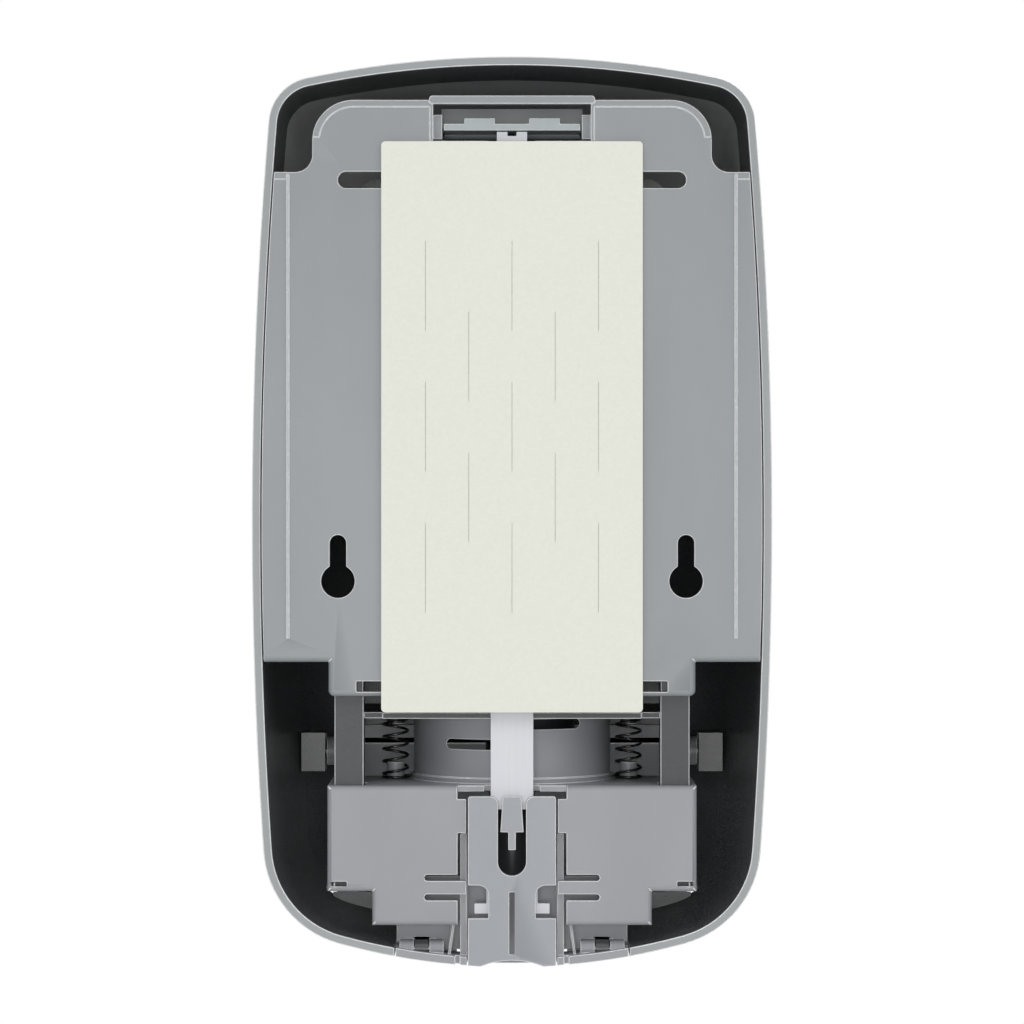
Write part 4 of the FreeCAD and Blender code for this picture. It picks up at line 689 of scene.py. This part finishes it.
# ---- The pieces ------------------------------------------------------------------------
class DISPENSER_OT_cover(DispenserOperator, bpy.types.Operator):
    """Builds the domed front cover: two skins joined round the rim, with its openings cut out"""
    bl_idname = "dispenser.cover"
    bl_label = "Front cover"

    def execute(self, context):
        sizes = context.scene.dispenser_sizes
        housing = Housing(sizes)
        outer, inner = housing.shell()
        rows, columns = outer.shape[:2]
        middle = np.array([[0.0, housing.front, (housing.top + housing.bottom) / 2.0]])
        points = np.concatenate([outer.reshape(-1, 3), middle,
                                 inner.reshape(-1, 3), middle + (0.0, housing.wall, 0.0)])
        skin = grid_faces(rows, columns, False, True)
        last = (rows - 1) * columns
        start = np.arange(columns)
        after = (start + 1) % columns
        second = rows * columns + 1
        cap = np.stack([last + start, last + after, np.full(columns, rows * columns)], axis=1)
        rim = np.stack([start, after, second + after, second + start], axis=1)
        faces = skin.tolist() + (skin[:, ::-1] + second).tolist() + rim[:, ::-1].tolist()
        faces += cap.tolist() + (cap[:, ::-1] + second).tolist()
        # slots: the outside, the paler edges (a painted highlight), the inner skin in painted shade and the
        # upper dome in painted light
        finish = Parts.finish("cover", "edge", "painted_shade_lining", "painted_light_dome")
        cover = mesh_object("front_cover_shell", points, faces, finish)
        heights = points[skin].mean(axis=1)
        # the zone of the inner skin that takes painted light
        painted_light_zone = (heights[:, 2] > housing.top - PAINTED_LIGHT_TOP) & (heights[:, 1] < housing.rim - PAINTED_LIGHT_DEPTH)
        # the inner skin and the inner cap take painted shade (slot 2), the upper dome painted light (slot 3)
        painted_shade_lining = np.zeros(len(faces), dtype=np.int32)
        painted_shade_lining[len(skin):2 * len(skin)] = np.where(painted_light_zone, 3, 2)
        painted_shade_lining[-columns:] = 2
        cover.data.polygons.foreach_set("material_index", painted_shade_lining)
        face_out(cover.data)

        self.cut_openings(cover, housing, sizes)
        self.join_fittings(cover, housing, sizes)
        soften(cover.data, COVER_ANGLE)
        mesh = cover.data
        on_rim = [vertex.co.y > housing.rim - 0.01 * MM for vertex in mesh.vertices]
        weights = mesh.attributes.new("bevel_weight_edge", "FLOAT", "EDGE")
        weights.data.foreach_set("value", [
            float(edge.use_edge_sharp and all(on_rim[v] for v in edge.vertices)) for edge in mesh.edges])
        radius_edges(cover, sizes.edge_radius)
        cover.modifiers["edge_radius"].limit_method = "WEIGHT"
        self.stand_in(cover, "front_cover")
        return {"FINISHED"}

    def cut_openings(self, cover, housing, sizes):
        """Cuts the notches of the frame and the button, the spout, the push bar and the window."""
        floor, above = housing.bottom - 5 * MM, housing.bottom + 12 * MM
        rear, past = housing.rim, housing.rim + 2 * MM
        bar_y = rear - sizes.bar_depth
        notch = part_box("hinge_pins")[1].x + HINGE_ROOM
        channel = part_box("release_button")[1].x + BUTTON_ROOM
        sweep = sizes.bar_half + 1.5 * MM
        window_low, window_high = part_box("sight_window")
        combine(cover, [
            block((-notch, rear - NOTCH_DEPTH, floor), (notch, past, above)),
            block((-channel, bar_y, floor), (channel, past, above)),
            block((-SPOUT_HALF, bar_y, floor), (SPOUT_HALF, rear - SPOUT_DEPTH, above)),
            block((-sweep, bar_y - 2 * MM, floor), (sweep, bar_y + SWEEP_ROOM, housing.bottom + SWEEP_RISE)),
            block((-sizes.bar_half, housing.front - 5 * MM, floor),
                  (sizes.bar_half, bar_y, housing.bottom + sizes.bar_top)),
            slot_cutter(window_high.x - WINDOW_LIP, window_low.z + WINDOW_LIP, window_high.z - WINDOW_LIP,
                        housing.front - MM, housing.front + housing.wall + MM),
        ], "DIFFERENCE")

    def join_fittings(self, cover, housing, sizes):
        """Joins the bar's ears, the hinge arms and the floor ribs in the inner skin's painted shade colour,
        then the catch and its arm in the cover's, and bores the hinge."""
        pivot = self.centre("push_bar_pins")
        hinge = self.centre("hinge_pins")
        hook_low, hook_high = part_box("latch_lever")
        arm_end = housing.front + CATCH_ARM_END
        arm_low, arm_top = hook_high.z + 1.2 * MM, hook_high.z + 3.2 * MM
        ear_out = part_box("push_bar_pins")[1].x + EAR_REACH
        joins = []
        for side in (-1, 1):
            low, high = sorted((side * (ear_out - EAR_T), side * ear_out))
            joins.append(block((low, pivot.y - EAR_HALF, pivot.z - EAR_HALF),
                               (high, pivot.y + EAR_HALF, pivot.z + EAR_HALF)))
            low, high = sorted((side * HINGE_ARM_IN, side * HINGE_ARM_OUT))
            joins.append(block((low, hinge.y - HINGE_ARM_L, hinge.z - HINGE_BARREL_R),
                               (high, hinge.y, hinge.z + HINGE_BARREL_R)))
            joins.append(bar_cutter(HINGE_BARREL_R, low, high, hinge.y, hinge.z))
            low, high = sorted((side * CATCH_RIB_X, side * (CATCH_RIB_X + CATCH_T)))
            joins.append(block((low, arm_end, arm_low - CATCH_RIB_H), (high, CATCH_RIB_REAR, arm_low)))
            joins.append(housing.floor_rib(side, SKIRT_IN, sizes.bar_half,
                                           SKIRT_REAR - SKIRT_T, SKIRT_REAR, SKIRT_RISE))
        # slot 2: these fittings take the inner skin's painted shade
        combine(cover, joins, "UNION", 2)
        catch_front = hook_low.y + 2.3 * MM
        catch_rear = catch_front + CATCH_T
        combine(cover, [
            block((-CATCH_HALF, arm_end, arm_low), (CATCH_HALF, catch_rear, arm_top)),
            block((-CATCH_HALF, catch_front, hook_high.z - 2.0 * MM), (CATCH_HALF, catch_rear, arm_top)),
        ], "UNION", 0)
        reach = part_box("hinge_pins")[1].x + 2 * MM
        combine(cover, [bar_cutter(HINGE_BORE_R, -reach, reach, hinge.y, hinge.z)], "DIFFERENCE")


class DISPENSER_OT_mouldings(DispenserOperator, bpy.types.Operator):
    """Builds the flat mouldings: back plate, frame, carriage, push bar, button, rod, key and latch"""
    bl_idname = "dispenser.mouldings"
    bl_label = "Plate, frame and mechanism mouldings"

    def execute(self, context):
        sizes = context.scene.dispenser_sizes
        coarse, fine = sizes.edge_radius, sizes.fine_edge_radius
        table = (
            ("back_plate", "back_plate_moulding", ("plate", "edge"), fine),
            ("lower_frame", "lower_frame_moulding", ("carriage", "edge"), fine),
            ("pump_carriage", "pump_carriage_moulding", ("carriage", "edge"), fine),
            ("push_bar", "push_bar_moulding", ("cover", "edge"), coarse),
            ("release_button", "release_button_moulding", ("button", "edge"), fine),
            ("release_rod", "release_rod_moulding", ("rod", "rod_painted_highlight"), 0.5 * fine),
            ("lock_key", "lock_key_moulding", ("button", "edge"), fine),
            ("latch_lever", "latch_lever_moulding", ("latch", "edge"), fine),
        )
        for node, name, finish, edge in table:
            piece = merged_copy(name, node, Parts.finish(*finish))
            if node == "lower_frame":
                # faces above this height take the columns' painted shade
                piece.data.materials.append(Parts.material("column"))
                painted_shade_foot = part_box("pump_carriage")[0].z + PAINTED_SHADE_RISE
                for polygon in piece.data.polygons:
                    if polygon.center.z > painted_shade_foot:
                        polygon.material_index = 2
            radius_edges(piece, edge)
            self.stand_in(piece, node)
        return {"FINISHED"}


class DISPENSER_OT_pad(DispenserOperator, bpy.types.Operator):
    """Builds the adhesive pad: a foam tape under a slit release liner"""
    bl_idname = "dispenser.pad"
    bl_label = "Adhesive pad and liner"

    def execute(self, context):
        foam = merged_copy("foam_tape_pad", "adhesive_pad", Parts.finish("foam"), SHEET_ANGLE)
        self.stand_in(foam, "adhesive_pad")
        liner = merged_copy("release_liner_sheet", "pad_liner", Parts.finish("liner"), SHEET_ANGLE)
        self.stand_in(liner, "pad_liner")
        return {"FINISHED"}


class DISPENSER_OT_springs(DispenserOperator, bpy.types.Operator):
    """Winds the two return springs and the pump spring, and carries the latch spring over"""
    bl_idname = "dispenser.springs"
    bl_label = "Springs"

    def execute(self, context):
        sizes = context.scene.dispenser_sizes
        for node in ("return_spring_left", "return_spring_right", "pump_spring"):
            low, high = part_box(node)
            middle = (low + high) / 2.0
            wire = sizes.spring_wire if node != "pump_spring" else PUMP_WIRE
            turns = sizes.spring_turns if node != "pump_spring" else PUMP_TURNS
            piece = wire_coil(node + "_wire", middle.x, middle.y, low.z, high.z,
                              (high.x - low.x) / 2.0 - wire, wire, turns, Parts.finish("spring"))
            self.stand_in(piece, node)
            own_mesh(piece)
        latch = merged_copy("latch_spring_wire", "latch_spring", Parts.finish("spring"))
        self.stand_in(latch, "latch_spring")
        return {"FINISHED"}


class DISPENSER_OT_pump(DispenserOperator, bpy.types.Operator):
    """Carries the pump and the refill over from the CAD model, with rounded edges and finishes"""
    bl_idname = "dispenser.pump"
    bl_label = "Pump"

    def execute(self, context):
        for node, name, finish in (
                ("pump_body", "pump_body_turned", "pump"), ("pump_stem", "pump_stem_turned", "pump"),
                ("nozzle_tip", "nozzle_tip_turned", "nozzle"),
                ("piston_seal", "piston_seal_turned", "rubber"),
                ("refill_cap", "refill_cap_turned", "pump"), ("refill_seal", "refill_seal_turned", "rubber"),
                ("inlet_valve", "inlet_valve_ball", "pin"),
                ("refill_bottle", "refill_bottle_blown", "bottle")):
            piece = merged_copy(name, node, Parts.finish(finish))
            if node != "inlet_valve":
                radius_edges(piece, 0.3 * MM)
            self.stand_in(piece, node)
        return {"FINISHED"}


class DISPENSER_OT_pins(DispenserOperator, bpy.types.Operator):
    """Builds the ground steel pins of the cover, the push bar and the latch"""
    bl_idname = "dispenser.pins"
    bl_label = "Pins"

    def execute(self, context):
        for node in ("hinge_pins", "push_bar_pins", "latch_pin"):
            piece = merged_copy(node + "_ground", node, Parts.finish("pin"))
            radius_edges(piece, 0.2 * MM)
            self.stand_in(piece, node)
        return {"FINISHED"}


class DISPENSER_OT_window(DispenserOperator, bpy.types.Operator):
    """Builds the sight window in the cover's front"""
    bl_idname = "dispenser.window"
    bl_label = "Sight window"

    def execute(self, context):
        pane = merged_copy("sight_window_pane", "sight_window", Parts.finish("window"))
        radius_edges(pane, 0.3 * MM)
        self.stand_in(pane, "sight_window")
        return {"FINISHED"}


class DISPENSER_OT_stage(DispenserOperator, bpy.types.Operator):
    """Adds the pale floor, the soft lights and the camera"""
    bl_idname = "dispenser.stage"
    bl_label = "Stage"

    def execute(self, context):
        scene = context.scene
        points = [(-FLOOR_REACH, -FLOOR_REACH, FLOOR_LEVEL), (FLOOR_REACH, -FLOOR_REACH, FLOOR_LEVEL),
                  (FLOOR_REACH, FLOOR_REACH, FLOOR_LEVEL), (-FLOOR_REACH, FLOOR_REACH, FLOOR_LEVEL)]
        material, tree, shader = surface("floor_matt_paper", linear("f2f2f1"), **{"IOR": 1.4})
        fibre = pattern(tree, 3.0 * MM)
        vary(tree, shader, "Roughness", fibre, 0.75, 0.85)
        floor = mesh_object("studio_floor", points, [(0, 1, 2, 3)], [material])

        middle = Vector((0.0, 0.0, VIEW_MIDDLE_Z))
        for name, place, size, power in (
                ("key", (0.45, 1.05, 1.15), 0.9, 6.0), ("fill", (-0.75, 0.95, 0.75), 0.9, 4.0),
                ("near_axis", (0.04, 1.25, -0.04), 0.5, 3.6),
                ("front", (-0.6, -1.2, 0.7), 0.9, 12.0), ("side", (1.3, -0.5, 0.5), 0.9, 8.0)):
            light = bpy.data.lights.new(name, "AREA")
            light.shape = "SQUARE"
            light.size = size
            light.energy = power
            lamp = bpy.data.objects.new(name, light)
            lamp.location = place
            lamp.rotation_euler = (middle - Vector(place)).to_track_quat("-Z", "Y").to_euler()
            scene.collection.objects.link(lamp)

        world = bpy.data.worlds.new("studio")
        world.use_nodes = True
        tree = world.node_tree
        tree.nodes.clear()
        path = add_node(tree, "ShaderNodeLightPath")
        level = add_node(tree, "ShaderNodeMapRange", {
            "Value": path.outputs["Is Camera Ray"], "To Min": 0.33, "To Max": 1.0})
        glow = add_node(tree, "ShaderNodeBackground", {
            "Color": (1.0, 1.0, 1.0, 1.0), "Strength": level.outputs["Result"]})
        output = add_node(tree, "ShaderNodeOutputWorld")
        tree.links.new(glow.outputs["Background"], output.inputs["Surface"])
        scene.world = world

        lens = bpy.data.cameras.new("camera")
        distance, view_height = 1.05, 0.299
        lens.sensor_width = 36.0
        lens.lens = lens.sensor_width * distance / view_height
        lens.clip_start = 0.01
        camera = bpy.data.objects.new("camera", lens)
        camera.location = (0.0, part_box("front_cover")[1].y + distance, middle.z)
        camera.rotation_euler = (math.pi / 2.0, 0.0, math.pi)
        scene.collection.objects.link(camera)
        scene.camera = camera
        scene.view_settings.view_transform = "Standard"
        return {"FINISHED"}


class DISPENSER_PT_panel(bpy.types.Panel):
    """Lists the sizes, the colours and the operators"""
    bl_idname = "DISPENSER_PT_panel"
    bl_label = "Soap dispenser"
    bl_space_type = "VIEW_3D"
    bl_region_type = "UI"
    bl_category = "Dispenser"

    def draw(self, context):
        for group in (context.scene.dispenser_sizes, context.scene.dispenser_colours):
            column = self.layout.column()
            for name in group.bl_rna.properties.keys():
                if name not in ("rna_type", "name"):
                    column.prop(group, name)
        for operator in OPERATORS:
            self.layout.operator(operator.bl_idname)


OPERATORS = (DISPENSER_OT_cover, DISPENSER_OT_mouldings, DISPENSER_OT_pad, DISPENSER_OT_springs,
             DISPENSER_OT_pump, DISPENSER_OT_pins, DISPENSER_OT_window, DISPENSER_OT_stage)
CLASSES = (DispenserSizes, DispenserColours) + OPERATORS + (DISPENSER_PT_panel,)


def register():
    for cls in CLASSES:
        bpy.utils.register_class(cls)
    bpy.types.Scene.dispenser_sizes = bpy.props.PointerProperty(type=DispenserSizes)
    bpy.types.Scene.dispenser_colours = bpy.props.PointerProperty(type=DispenserColours)


def unregister():
    del bpy.types.Scene.dispenser_colours
    del bpy.types.Scene.dispenser_sizes
    for cls in reversed(CLASSES):
        bpy.utils.unregister_class(cls)


def main():
    register()
    for operator in OPERATORS:
        group, name = operator.bl_idname.split(".")
        if getattr(getattr(bpy.ops, group), name)() != {"FINISHED"}:
            raise RuntimeError(operator.bl_label + " could not be built")


if __name__ == "__main__":
    main()
